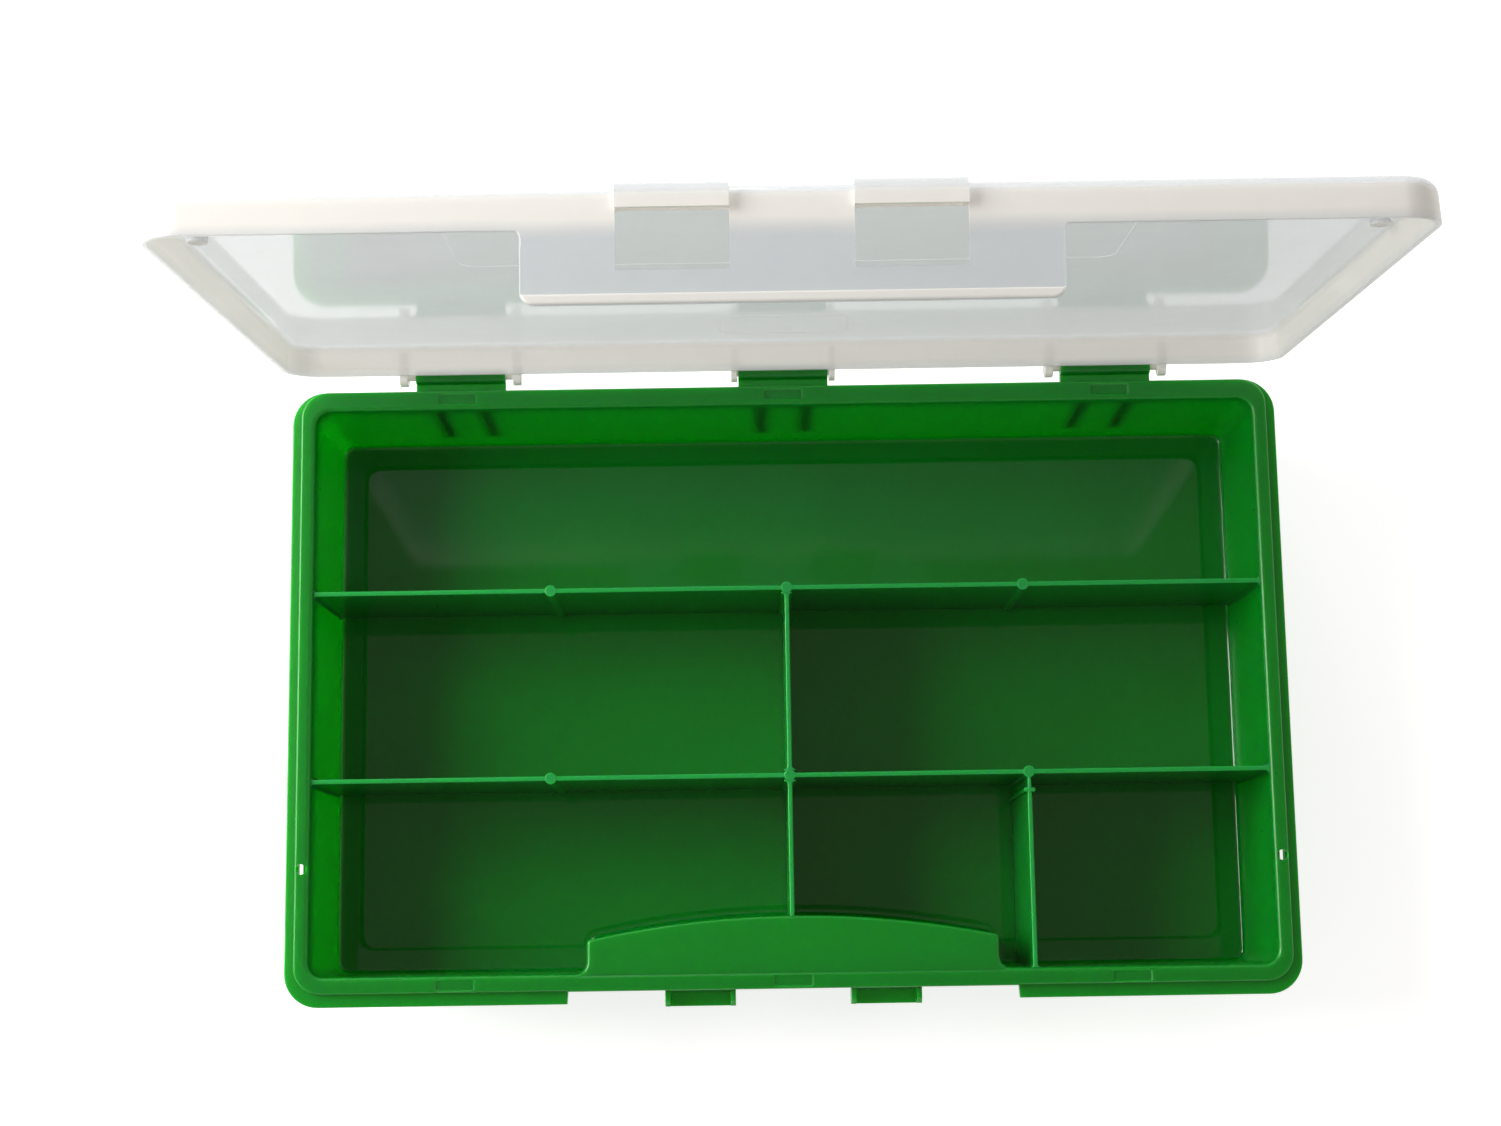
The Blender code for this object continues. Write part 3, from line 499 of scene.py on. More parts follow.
def finish_piece(thing, material, bevel=0.0):
    """Shade a piece smooth with crisp edges, round its corners and give it its plastic."""
    thing.data.materials.clear()
    thing.data.materials.append(material)
    if bevel:
        edge = thing.modifiers.new("rounded edges", "BEVEL")
        edge.width = bevel
        edge.segments = BEVEL_STEPS
        edge.limit_method = "ANGLE"
        edge.angle_limit = SHARP_ANGLE
    thing.data.shade_smooth()
    thing.data.set_sharp_from_angle(angle=SHARP_ANGLE)
    even = thing.modifiers.new("even shading", "WEIGHTED_NORMAL")
    even.keep_sharp = True


def tray_planes(tray, recess):
    """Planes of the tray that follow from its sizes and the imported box."""
    front = -tray.depth / 2
    back = tray.depth / 2
    bead_front = front + tray.ledge_front
    bead_back = back - tray.ledge_back
    opening_front = bead_front + tray.bead_front
    height = TRAY_HIGH.z
    return SimpleNamespace(
        half=TRAY_HIGH.x,
        height=height,
        front=front,
        back=back,
        bead_side=TRAY_HIGH.x - tray.ledge_side,
        bead_front=bead_front,
        bead_back=bead_back,
        opening_side=TRAY_HIGH.x - tray.ledge_side - tray.bead_side,
        opening_front=opening_front,
        opening_back=bead_back - tray.bead_back,
        ledge=height - tray.ledge_drop,
        ledge_under=height - tray.ledge_drop - tray.ledge_thickness,
        beam_face=bead_front - recess.beam_set,
        apex=opening_front + recess.reach,
    )


def recess_edge(recess, plane, offset):
    """The finger recess seen from above, left to right, moved into the plastic by an offset.

    Its left half is a flare arc off the front wall, a straight side and a corner arc that touches both the
    side and the arch. The arch is the circle of radius (h^2 + s^2) / 2s, where h is half the width and s the
    height.
    """
    full = recess.width / 2
    arch = (full ** 2 + recess.sag ** 2) / (2 * recess.sag)
    middle = plane.apex - arch
    half = full - offset
    radius = arch - offset
    front = plane.opening_front - offset
    flare = max(recess.flare + offset, FINE)
    corner = max(recess.corner - offset, FINE)
    corner_y = middle + math.sqrt((radius - corner) ** 2 - (half - corner) ** 2)
    lean = math.degrees(math.atan2(corner_y - middle, corner - half))
    left = np.concatenate((
        arc((-half - flare, front + flare), flare, -90, 0, FLARE_STEPS),
        row(-half, inner(front + flare, corner_y, SIDE_STEPS)),
        arc((corner - half, corner_y), corner, 180, lean, CORNER_STEPS),
    ))
    over = arc((0.0, middle), radius, lean, 180 - lean, ARCH_STEPS)[1:-1]
    return np.concatenate((left, over, left[::-1] * (-1, 1)))


def panel_edge(recess, plane, offset, line):
    """The floor panel's edge beside the recess: the recess moved by an offset, cut off by the front's line.

    The stations before the cut lie on the line itself, a narrow step apart.
    """
    edge = recess_edge(recess, plane, offset)
    left = edge[:len(edge) // 2]
    cut = np.count_nonzero(left[:, 1] < line)
    left[:cut] = row(left[cut, 0] - SLIT * np.arange(cut, 0, -1), line)
    return np.concatenate((left, left[::-1] * (-1, 1)))


def straight_edge(recess, plane, y):
    """The same stations as the recess's edge on a straight line at y, spaced by their share of its length."""
    edge = recess_edge(recess, plane, 0.0)
    return row(edge[0, 0] * (1 - 2 * path_share(edge)), y)


def plan_ring(gap, side, front, back, radius, middle):
    """A rounded rectangle seen from above, anticlockwise, whose front edge holds a given row of points.

    On each side of that row the front edge has STRAIGHT_STEPS points outside the gap and two inside it.
    """
    reach = side - radius
    outer = np.linspace(-reach, -gap / 2 - SLIT, STRAIGHT_STEPS + 1)[1:]
    left = row(np.append(outer, (SLIT - gap / 2, middle[0, 0] - SLIT)), front)
    return np.concatenate((
        left,
        middle,
        left[::-1] * (-1, 1),
        arc((reach, front + radius), radius, -90, 0, TURN_STEPS),
        row(side, inner(front + radius, back - radius, STRAIGHT_STEPS)),
        arc((reach, back - radius), radius, 0, 90, TURN_STEPS),
        row(inner(reach, -reach, STRAIGHT_STEPS), back),
        arc((-reach, back - radius), radius, 90, 180, TURN_STEPS),
        row(-side, inner(back - radius, front + radius, STRAIGHT_STEPS)),
        arc((-reach, front + radius), radius, 180, 270, TURN_STEPS),
    ))


def tray_rings(tray, recess):
    """The tray's skin as rings, from the base up the outside, over the rim and down to the floor panel.

    Along most of the rim a station runs under and over the ledge. In the gap of the front ledge it runs up
    the beam's face instead, and behind the beam it first runs up to the plate's underside and down the
    beam's back.
    """
    plane = tray_planes(tray, recess)
    middle = len(recess_edge(recess, plane, 0.0))
    # Stations of the gap in the front ledge, of the recess, and of the recess without its flares
    notch = slice(STRAIGHT_STEPS, STRAIGHT_STEPS + 4 + middle)
    open_front = slice(STRAIGHT_STEPS + 2, STRAIGHT_STEPS + 2 + middle)
    pocket = slice(open_front.start + FLARE_STEPS, open_front.stop - FLARE_STEPS)

    def wall_plan(offset, least=FINE):
        """The opening's outline, with the recess in its front edge, moved into the plastic by an offset."""
        radius = max(tray.opening_radius + offset, least)
        return plan_ring(
            recess.gap,
            plane.opening_side + offset,
            plane.opening_front - offset,
            plane.opening_back + offset,
            radius,
            recess_edge(recess, plane, offset),
        )

    def rim_plan(side, front, back, radius, inset, face):
        """A rounded rectangle shrunk by an inset, whose front edge lies at the beam's face in the gap."""
        ring = plan_ring(
            recess.gap, side - inset, front + inset, back - inset, radius - inset,
            straight_edge(recess, plane, front + inset),
        )
        ring[notch, 1] = face
        return ring

    def ledge_plan(inset, face):
        """The ledge's outline, shrunk by an inset."""
        return rim_plan(plane.half, plane.front, plane.back, tray.ledge_radius, inset, face)

    def bead_plan(inset):
        """The bead's outline, shrunk by an inset, the beam's face with it."""
        face = plane.beam_face + inset
        return rim_plan(plane.bead_side, plane.bead_front, plane.bead_back, tray.bead_radius, inset, face)

    rings = []

    def add(plan, level):
        """Keep a plan as the next ring, at one level or at a level for each station."""
        rings.append(row(plan[:, 0], plan[:, 1], level))

    # Base and outer wall
    foot = tray.wall - tray.draft
    for sine, cosine in quarter(EDGE_STEPS):
        add(wall_plan(foot - tray.base_round * (1 - sine)), tray.base_round * (1 - cosine))
    under = np.full(len(rings[0]), plane.ledge_under)
    beam_bottom = plane.height - recess.beam_depth
    under[open_front] = beam_bottom
    top = under.copy()
    top[pocket] = plane.height - recess.plate
    wall = wall_plan(tray.wall)
    add(wall, top)

    # Under the ledge, or down the back of the beam
    edge = ledge_plan(tray.ledge_round, plane.beam_face + tray.ledge_round)
    beam_back = straight_edge(recess, plane, plane.beam_face + recess.beam)
    inside = slice(FLARE_STEPS, middle - FLARE_STEPS)
    for share, level in zip(BEAM_SHARES, (plane.height - recess.plate, beam_bottom)):
        between = wall + share * (edge - wall)
        between[pocket] = beam_back[inside]
        heights = under.copy()
        heights[pocket] = level
        add(between, heights)

    # Ledge's edge, or the beam's face
    for sine, cosine in quarter(EDGE_STEPS):
        inset = tray.ledge_round * (1 - sine)
        add(ledge_plan(inset, plane.beam_face + inset), under + tray.ledge_round * (1 - cosine))
    for sine, cosine in quarter(EDGE_STEPS):
        inset = tray.ledge_round * (1 - cosine)
        add(ledge_plan(inset, plane.beam_face), plane.ledge - tray.ledge_round * (1 - sine))
    for sine, cosine in quarter(FILLET_STEPS):
        inset = -FINE * (1 - sine)
        plan = bead_plan(inset)
        plan[notch, 1] = plane.beam_face
        add(plan, plane.ledge + SLIT + FINE * (1 - cosine))
    for sine, cosine in quarter(EDGE_STEPS):
        add(bead_plan(tray.bead_round * (1 - cosine)), plane.height - tray.bead_round * (1 - sine))

    # Bead's inner edge, which in the recess steps down to the plate and ends at the plate's edge
    line = plane.opening_front - tray.rim_round
    bead_row = straight_edge(recess, plane, line)
    plate_end = recess_edge(recess, plane, recess.edge)
    run = np.minimum(STEP_RUN, (plate_end[:, 1] - line) / 2)
    depth = recess_edge(recess, plane, 0.0)[:, 1] - plane.opening_front
    share = smooth(STEP_RATE * depth / recess.flare)[:, None]
    plate = plane.height - recess.step
    plain = np.radians(RIM_ANGLES)
    stepped = []
    for along, fall in STEP_CURVE:
        stepped.append((row(bead_row[:, 0], line + run * along), plane.height - recess.step * fall))
    for sine, cosine in quarter(len(plain) - len(stepped)):
        offset = recess.edge * (1 - sine)
        stepped.append((recess_edge(recess, plane, offset), plate - recess.edge * (1 - cosine)))
    for turn, (path, level) in zip(plain, stepped):
        offset = tray.rim_round * (1 - math.sin(turn))
        plan = wall_plan(offset)
        heights = np.full(len(plan), plane.height - tray.rim_round * (1 - math.cos(turn)))
        straight = straight_edge(recess, plane, plane.opening_front - offset)
        plan[open_front] = straight + share * (path - straight)
        heights[open_front] += share[:, 0] * (level - heights[open_front])
        add(plan, heights)

    # Inner wall, floor fillet and raised floor panel
    for sine, cosine in quarter(EDGE_STEPS + 1):
        offset = -tray.draft - tray.floor_round * (1 - cosine)
        add(wall_plan(offset, tray.panel_radius / 2), tray.floor + tray.floor_round * (1 - sine))
    start = -tray.draft - tray.floor_round
    for share in np.linspace(0.0, 1.0, EDGE_STEPS + 1):
        shift = tray.panel_slope * share
        offset = start - tray.panel_margin - shift
        plan = wall_plan(offset, tray.panel_radius)
        plan[open_front] = panel_edge(recess, plane, start - FINE - shift, plane.opening_front - offset)
        plan[open_front.start - 1, 0] = plan[open_front.start, 0] - SLIT
        plan[open_front.stop, 0] = plan[open_front.stop - 1, 0] + SLIT
        add(plan, tray.floor + tray.panel_rise * smooth(share))
    return rings


def socket_spots(tray, plane):
    """Where the two locating holes stand, in the middle of the bead's flat sides."""
    x = plane.opening_side + (tray.rim_round + tray.bead_side - tray.bead_round) / 2
    return [(side * x, plane.front + tray.socket_place) for side in SIDES]


def rim_marks(tray, recess):
    """Blocks that cut the shallow pockets and the locating holes into the bead."""
    plane = tray_planes(tray, recess)
    rows = (
        (plane.bead_front + tray.bead_round + plane.opening_front - tray.rim_round) / 2,
        (plane.opening_back + tray.rim_round + plane.bead_back - tray.bead_round) / 2,
    )
    solids = []
    for y in rows:
        for index in (-1, 0, 1):
            centre = np.array((index * tray.pocket_pitch, y))
            size = (tray.pocket_length, tray.pocket_width)
            solids.append(pocket_solid(centre, size, plane.height, tray.pocket_depth, tray.pocket_edge))
    radius = tray.socket / 2
    level = plane.height - tray.socket_depth
    for spot in socket_spots(tray, plane):
        solids.append(pillar(spot, (radius, radius), (level, plane.height + ROOT)))
    return join(solids)


def socket_cores(tray, recess):
    """Blocks that core the rim out from below, beside the wall, so that light comes through the holes."""
    plane = tray_planes(tray, recess)
    near = plane.opening_side + tray.wall + SLIT
    far = near + tray.socket / 2
    low = plane.ledge_under - ROOT
    high = plane.height - tray.socket_depth + ROOT
    solids = []
    for side, (_, y) in zip(SIDES, socket_spots(tray, plane)):
        left, right = sorted((side * near, side * far))
        solids.append(block((left, y - tray.socket, low), (right, y + tray.socket, high)))
    return join(solids)


def catch_solid(recess, plane, centre):
    """A catch: its cheeks' outline at both ends and a trough behind the nose between, carried along x."""
    top = plane.height - recess.catch_drop
    bottom = top - recess.catch_height
    root = plane.beam_face + recess.beam / 2
    nose = TRAY_LOW.y
    cheek = [
        (root, bottom), (root, top), (plane.beam_face, top), (nose + recess.catch_nose, top),
        (nose, top - recess.catch_nose), (nose, bottom),
    ]
    high = top - recess.ramp_start
    low = bottom + recess.catch_nose
    ramp = [
        (root, bottom), (root, high), (plane.beam_face, high),
        (plane.beam_face - recess.catch_cheek / 2, low), (nose, low), (nose, bottom),
    ]
    half = recess.catch_width / 2
    step = half - recess.catch_cheek
    stations = (
        (-half, cheek), (-step - SLIT, cheek), (-step + SLIT, ramp),
        (step - SLIT, ramp), (step + SLIT, cheek), (half, cheek),
    )
    return loft([row(centre + x, *np.array(profile).T) for x, profile in stations])


def hinge_centres(hinge):
    """Each hinge's centre in x, with the gap beside its bracket and the thickness of its ears."""
    return (
        (-hinge.pitch, hinge.gap_outer, hinge.ear_outer),
        (0.0, hinge.gap_middle, hinge.ear_middle),
        (hinge.pitch, hinge.gap_outer, hinge.ear_outer),
    )


def bracket_profile(hinge):
    """An arm and the round barrel at its end: two straight edges and the circle about the hinge's axis."""
    y, z = HINGE[1:]
    radius = hinge.barrel / 2
    top = z - hinge.arm_drop
    root = y - hinge.arm_length
    meet = 180 + math.degrees(math.asin(hinge.arm_drop / radius))
    barrel = arc((y, z), radius, -90, meet, CIRCLE_STEPS)
    return np.concatenate(([(root, top - hinge.arm_root)], barrel, [(root, top)]))


def bracket_solids(hinge, tray, recess):
    """The three arms with their barrels, and the two tapering ribs under each arm."""
    plane = tray_planes(tray, recess)
    wall = plane.opening_back + tray.wall
    level = HINGE[2] - hinge.arm_drop - hinge.arm_root / 2
    low = plane.ledge_under - hinge.gusset_drop
    core = wall - tray.draft
    rib = [(core, low), (wall + FINE, low), (HINGE[1] - hinge.arm_length / 2, level), (core, level)]
    arms = []
    ribs = []
    for centre, _, _ in hinge_centres(hinge):
        arms.append(prism(bracket_profile(hinge), centre - hinge.width / 2, centre + hinge.width / 2))
        for side in SIDES:
            middle = centre + side * hinge.gusset_pitch / 2
            ribs.append(prism(rib, middle - hinge.gusset / 2, middle + hinge.gusset / 2))
    return join(arms), join(ribs)


def bore_solids(hinge):
    """Rods that cut the barrels' bores."""
    rod = circle(HINGE[1:], hinge.bore / 2)
    reach = hinge.width / 2 + ROOT
    return join([prism(rod, centre - reach, centre + reach) for centre, _, _ in hinge_centres(hinge)])


def plate_grid(divider, start, end, levels, neck=None):
    """A divider plate's skin as rings of u along it, v across it and z up: v is half the thickness there.

    The thickness grows evenly from the top to the floor, and at each end by the fillet
    r - sqrt(r^2 - (r - e)^2) at a distance e < r from the end. Each end is a pair of places, at the top and
    at the floor. A neck is a thin stretch of the given length before the far end, which narrows over its
    first quarter.
    """
    bottom, top = levels
    reach = np.concatenate(([-ROOT], divider.fillet * np.linspace(0.0, 1.0, EDGE_STEPS + 2) ** 2))
    stations = np.concatenate((reach, inner(0.0, 1.0, STRAIGHT_STEPS), -reach[::-1]))
    is_far = np.arange(len(stations)) >= len(reach) + STRAIGHT_STEPS
    is_middle = (np.arange(len(stations)) >= len(reach)) & ~is_far
    rounding = quarter(EDGE_STEPS - 1)
    side = np.concatenate(([bottom, (bottom + top) / 2], top - divider.edge * (1 - rounding[:, 0])))
    tuck = np.concatenate(([0.0, 0.0], divider.edge * (1 - rounding[:, 1])))
    z = np.concatenate((side, side[::-1]))
    tuck = np.concatenate((tuck, tuck[::-1]))
    sign = np.concatenate((np.ones(len(side)), -np.ones(len(side))))
    fall = (top - z) / (top - bottom)
    near = start[0] + (start[1] - start[0]) * fall
    far = end[0] + (end[1] - end[0]) * fall
    u = np.where(is_far[:, None], far + stations[:, None], near + stations[:, None])
    u = np.where(is_middle[:, None], near + (far - near) * stations[:, None], u)
    gap = np.clip(np.minimum(u - near, far - u), 0.0, divider.fillet)
    swell = divider.fillet - np.sqrt(divider.fillet ** 2 - (divider.fillet - gap) ** 2)
    half = (divider.thickness + (divider.foot - divider.thickness) * fall) / 2
    if neck:
        half = half * (1 - (1 - divider.neck / divider.thickness) * smooth((u - (far - neck)) / (neck / 4)))
        swell = swell * (u < (near + far) / 2)
    v = sign * (half - tuck + swell)
    return np.stack((u, v, np.broadcast_to(z, u.shape)), axis=-1)


def along_x(grid, y):
    """A plate's grid laid along x at a place in y."""
    rings = np.stack((grid[..., 0], y - grid[..., 1], grid[..., 2]), axis=-1)
    return loft(rings)


def along_y(grid, x):
    """A plate's grid laid along y at a place in x."""
    rings = np.stack((x + grid[..., 1], grid[..., 0], grid[..., 2]), axis=-1)
    return loft(rings)


def post_solid(radius, edge, spot, levels):
    """A round post with a rounded top and a shallow dish in it.

    Its radius is r - e (1 - cos t) at e (1 - sin t) under the top. A flat ring follows, and then a dish as
    deep as a quarter of the rounding.
    """
    bottom, top = levels
    steps = quarter(EDGE_STEPS)
    dish = [radius - share * edge for share in DISH]
    radii = np.concatenate(([radius], radius - edge * (1 - steps[:, 1]), dish))
    heights = np.concatenate(([bottom], top - edge * (1 - steps[:, 0]), (top, top - edge / 4)))
    return pillar(spot, radii, heights)


def divider_solids(divider, tray, recess):
    """Every divider by the name of the node that it stands for: a plate, and the posts or pips on it."""
    plane = tray_planes(tray, recess)
    top = plane.height - divider.drop
    levels = (tray.floor + tray.panel_rise - ROOT, top)
    rear = plane.back - divider.rear
    front = plane.front + divider.front
    lean = tray.draft
    side = plane.opening_side
    post = divider.post / 2
    solids = {}
    for name, y in (("long_divider_rear", rear), ("long_divider_front", front)):
        plate = along_x(plate_grid(divider, (-side, lean - side), (side, side - lean), levels), y)
        spots = [(index * divider.post_pitch, y) for index in (-1, 0, 1)]
        posts = [post_solid(post, divider.post_edge, spot, (levels[0], top + SLIT)) for spot in spots]
        solids[name] = (plate, join(posts))
    ends = {
        "cross_divider_middle": (0.0, (front + post, front + post), (rear - post, rear - post), None),
        "cross_divider_front_centre": (
            0.0, (plane.apex - recess.edge, plane.apex + lean), (front - post, front - post), None,
        ),
        "cross_divider_front_right": (
            divider.post_pitch,
            (plane.opening_front, plane.opening_front + lean),
            (front - post, front - post),
            divider.neck_length,
        ),
    }
    for name, (x, near, far, neck) in ends.items():
        solids[name] = (along_y(plate_grid(divider, near, far, levels, neck), x), None)
    pip = divider.pip / 2
    y = front - post - divider.neck_length - pip
    pips = [
        post_solid(pip, pip / 4, (divider.post_pitch + side * (divider.thickness + pip) / 2, y), levels)
        for side in SIDES
    ]
    name = "cross_divider_front_right"
    solids[name] = (solids[name][0], join(pips))
    return solids


def lid_planes(lid, tray):
    """Planes of the shut lid that follow from its sizes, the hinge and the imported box."""
    rim = HINGE[2] + lid.rim_over_hinge
    return SimpleNamespace(
        rim=rim,
        top=rim + lid.height,
        ceiling=rim + lid.height - lid.panel,
        side=TRAY_HIGH.x + lid.overhang,
        front=-tray.depth / 2 - lid.overhang,
        back=HINGE[1] - lid.back_to_hinge,
    )


def tongue_edge(lid, offset):
    """The tongue's outline from the front, left to right, as x and depth under the rim, shrunk by an offset.

    Its left half is a flare arc off the rim, a straight side and a corner arc, and a straight bottom joins
    the halves.
    """
    half = lid.tongue_width / 2 - offset
    flare = lid.tongue_flare + offset
    corner = lid.tongue_corner - offset
    depth = lid.tongue_drop - offset
    root = -offset
    left = np.concatenate((
        arc((-half - flare, root + flare), flare, -90, 0, FLARE_STEPS),
        row(-half, inner(root + flare, depth - corner, SIDE_STEPS)),
        arc((corner - half, depth - corner), corner, 180, 90, CORNER_STEPS),
    ))
    bottom = row(inner(corner - half, half - corner, ARCH_STEPS), depth)
    return np.concatenate((left, bottom, left[::-1] * (-1, 1)))


def lid_rings(lid, tray):
    """The lid's skin as rings, from the ceiling down the inside, round rim and tongue and up the outside.

    A station of the tongue runs from the straight rim to the tongue's outline and back. Elsewhere the same
    rings share out the skirt's lower edge, and over the flare one changes smoothly into the other.
    """
    plane = lid_planes(lid, tray)
    outline = tongue_edge(lid, 0.0)
    line = outline[0, 0] * (1 - 2 * path_share(outline))
    # A little wider than the tongue with its flares, so that the plan's stations stay in order
    gap = -2 * (outline[0, 0] - 3 * SLIT)
    middle = slice(STRAIGHT_STEPS + 2, STRAIGHT_STEPS + 2 + len(outline))
    hang = smooth(outline[:, 1] / lid.tongue_flare)[:, None]

    def plan(inset):
        """The lid's outline, shrunk by an inset, with the tongue's stations on its straight front edge."""
        radius = max(lid.radius - inset, FINE)
        front = plane.front + inset
        return plan_ring(gap, plane.side - inset, front, plane.back - inset, radius, row(line, front))

    rings = []

    def add(inset, level, drop=None):
        """Keep the outline at a level as the next ring.

        A drop is how far behind the front the tongue's stations lie, their fraction of the way from the rim
        to the tongue's outline, and how much that outline is shrunk.
        """
        flat = plan(inset)
        ring = row(flat[:, 0], flat[:, 1], level)
        if drop:
            behind, fraction, shrink = drop
            target = tongue_edge(lid, shrink)
            x = line + fraction * (target[:, 0] - line)
            z = plane.rim - fraction * target[:, 1]
            wanted = row(x, plane.front + behind, z)
            ring[middle] += hang * (wanted - ring[middle])
        rings.append(ring)

    inner_round = lid.edge - lid.wall
    for sine, cosine in quarter(EDGE_STEPS + 1):
        inset = lid.draft + lid.wall + inner_round * (1 - sine)
        add(inset, plane.ceiling - inner_round * (1 - cosine))

    # Skirt's lower edge: the inset goes evenly from the inner to the outer face, with both corners rounded
    half = lid.wall / 2
    rounding = lid.rim_round
    fractions = np.linspace(0.0, 1.0, APRON_STEPS + 1)[1:]
    drops = [(lid.wall, fraction, rounding) for fraction in fractions]
    turn = (half - rounding) * TURN_ACROSS
    short = rounding * TURN_UNDER
    drops += [(half + turn, 1.0, short), (half, 1.0, 0.0), (half - turn, 1.0, short)]
    drops += [(0.0, fraction, rounding) for fraction in fractions[::-1]]
    add(lid.wall, plane.rim + rounding)
    across = np.linspace(lid.wall, 0.0, len(drops) + 2)[1:-1]
    for inset, drop in zip(across, drops):
        edge = min(inset, lid.wall - inset)
        lift = rounding - math.sqrt(max(rounding ** 2 - max(rounding - edge, 0.0) ** 2, 0.0))
        add(inset, plane.rim + lift, drop)
    add(0.0, plane.rim + rounding)

    for sine, cosine in quarter(EDGE_STEPS + 3):
        inset = lid.draft + lid.edge * (1 - cosine)
        add(inset, plane.top - lid.edge * (1 - sine))
    return rings


def pad_solid(lid, plane, centre):
    """A pad over a window: a block wrapped over the lid's top edge, with its outer edge rounded."""
    outer = plane.front - lid.pad_proud
    top = plane.top + lid.pad_rise
    back = plane.front + lid.pad_overlap
    core = plane.front + lid.draft + lid.wall / 2
    bottom = plane.rim + lid.window_top
    edge = arc((outer + lid.pad_edge, top - lid.pad_edge), lid.pad_edge, 180, 90, EDGE_STEPS)
    profile = [
        (core, bottom), (core, plane.top - lid.edge), (core + lid.wall, plane.ceiling),
        (back, plane.top - lid.panel / 2), (back, top), *edge[::-1], (outer, bottom),
    ]
    half = lid.window_width / 2
    return prism(profile, centre - half, centre + half)


def window_solids(lid, recess, plane):
    """Blocks that cut each window through the skirt and the tongue, and hollow the pad over it."""
    solids = []
    half = lid.window_width / 2
    inside = plane.front + lid.wall + ROOT
    skin = lid.pad_proud - lid.wall
    top = plane.rim + lid.window_top
    for side in SIDES:
        centre = side * recess.catch_pitch / 2
        left, right = centre - half, centre + half
        solids.append((
            block((left, plane.front - 2 * lid.wall, plane.rim - lid.window_drop), (right, inside, top)),
            block(
                (left + lid.wall, plane.front - skin, top - ROOT),
                (right - lid.wall, inside, plane.top - lid.edge),
            ),
        ))
    return [join(group) for group in zip(*solids)]


def ear_solids(hinge, lid, tray):
    """Six ears, each a gusset down the lid's back wall with a round eye, and the pins that they carry."""
    plane = lid_planes(lid, tray)
    y, z = HINGE[1:]
    eye = arc((y, z), hinge.eye / 2, -180, hinge.ear_slope, CIRCLE_STEPS)
    inside = plane.back - lid.wall / 2
    top = plane.rim + hinge.ear_height
    profile = np.concatenate((eye, [(plane.back + FINE, top), (inside, top), (inside, plane.rim + FINE)]))
    ears = []
    pins = []
    for centre, gap, width in hinge_centres(hinge):
        for side in SIDES:
            near = centre + side * (hinge.width / 2 + gap)
            far = near + side * width
            ears.append(prism(profile, min(near, far), max(near, far)))
            tip = centre + side * (hinge.width / 2 - hinge.pin_reach)
            stations = ((tip, PIN_TIP), (tip + side * FINE, 1.0), (near + side * width / 2, 1.0))
            rings = [row(x, *circle((y, z), scale * hinge.pin / 2).T) for x, scale in stations]
            pins.append(loft(rings if side > 0 else rings[::-1]))
    return join(ears), join(pins)


def lip_solid(lid, plane):
    """The pull lip: a band along the tongue's lower edge, with the tongue's own corners and a rounded face.

    Its outline is the tongue's below the band's top. It shrinks by e (1 - cos t) as it stands out by e sin t.
    """
    edge = lid.lip_proud / 2
    steps = [(plane.front + lid.wall / 2, 0.0), (plane.front - edge, 0.0)]
    for sine, cosine in quarter(EDGE_STEPS)[1:]:
        steps.append((plane.front - edge - edge * sine, edge * (1 - cosine)))
    middle = lid.tongue_drop - lid.tongue_corner
    rings = []
    for y, inset in steps:
        half = lid.tongue_width / 2 - FINE - inset
        corner = lid.tongue_corner - FINE - inset
        upper = lid.tongue_drop - lid.lip + inset
        first = 180 - math.degrees(math.asin((upper - middle) / corner))
        left = arc((corner - half, middle), corner, first, 90, CORNER_STEPS)
        ring = np.concatenate((left, left[::-1] * (-1, 1)))
        rings.append(row(ring[:, 0], y, plane.rim - ring[:, 1]))
    return loft(rings)


def ridge_solid(path, width, level, height):
    """A low half-round ridge along a path on the ceiling, with flat ends.

    It is w cos t across and h sin t down, where w is half its width and h its height.
    """
    path = np.asarray(path)
    tangent = np.gradient(path, axis=0)
    tangent /= np.linalg.norm(tangent, axis=1)[:, None]
    across = row(-tangent[:, 1], tangent[:, 0])
    turn = np.linspace(0.0, math.pi, EDGE_STEPS + 3)
    shift = np.append(width / 2 * np.cos(turn), (-width / 2, width / 2))
    down = np.append(-height * np.sin(turn), (height, height))
    plan = path[:, None, :] + shift[None, :, None] * across[:, None, :]
    rings = np.concatenate((plan, np.broadcast_to(level + down, plan.shape[:2])[..., None]), axis=-1)
    return loft(rings)


def rounded_path(corners, radius):
    """A path with corners of right angles, each turned with a radius: straight runs and quarter circles."""
    corners = np.asarray(corners)
    points = [corners[0]]
    for before, here, after in zip(corners, corners[1:], corners[2:]):
        into = (here - before) / np.linalg.norm(here - before)
        out = (after - here) / np.linalg.norm(after - here)
        for sine, cosine in quarter(TURN_STEPS):
            points.append(here - into * radius * (1 - sine) + out * radius * (1 - cosine))
    return np.array(points + [corners[-1]])


def panel_lines(lid, plane):
    """The raised lines inside the panel: a wide frame, open to the front, and a small one at the hinge."""
    half = lid.frame_width / 2
    near, far = plane.front + lid.edge, plane.front + lid.frame_reach
    wide = rounded_path([(half, near), (half, far), (-half, far), (-half, near)], lid.frame_corner)
    half = lid.small_width / 2
    near = HINGE[1] - lid.small_place
    far = near - lid.small_reach
    small = [(0.0, near), (-half, near), (-half, far), (half, far), (half, near), (0.0, near)]
    small = rounded_path(small, lid.frame_corner)
    return [ridge_solid(path, lid.line, plane.ceiling, lid.line_height) for path in (wide, small)]


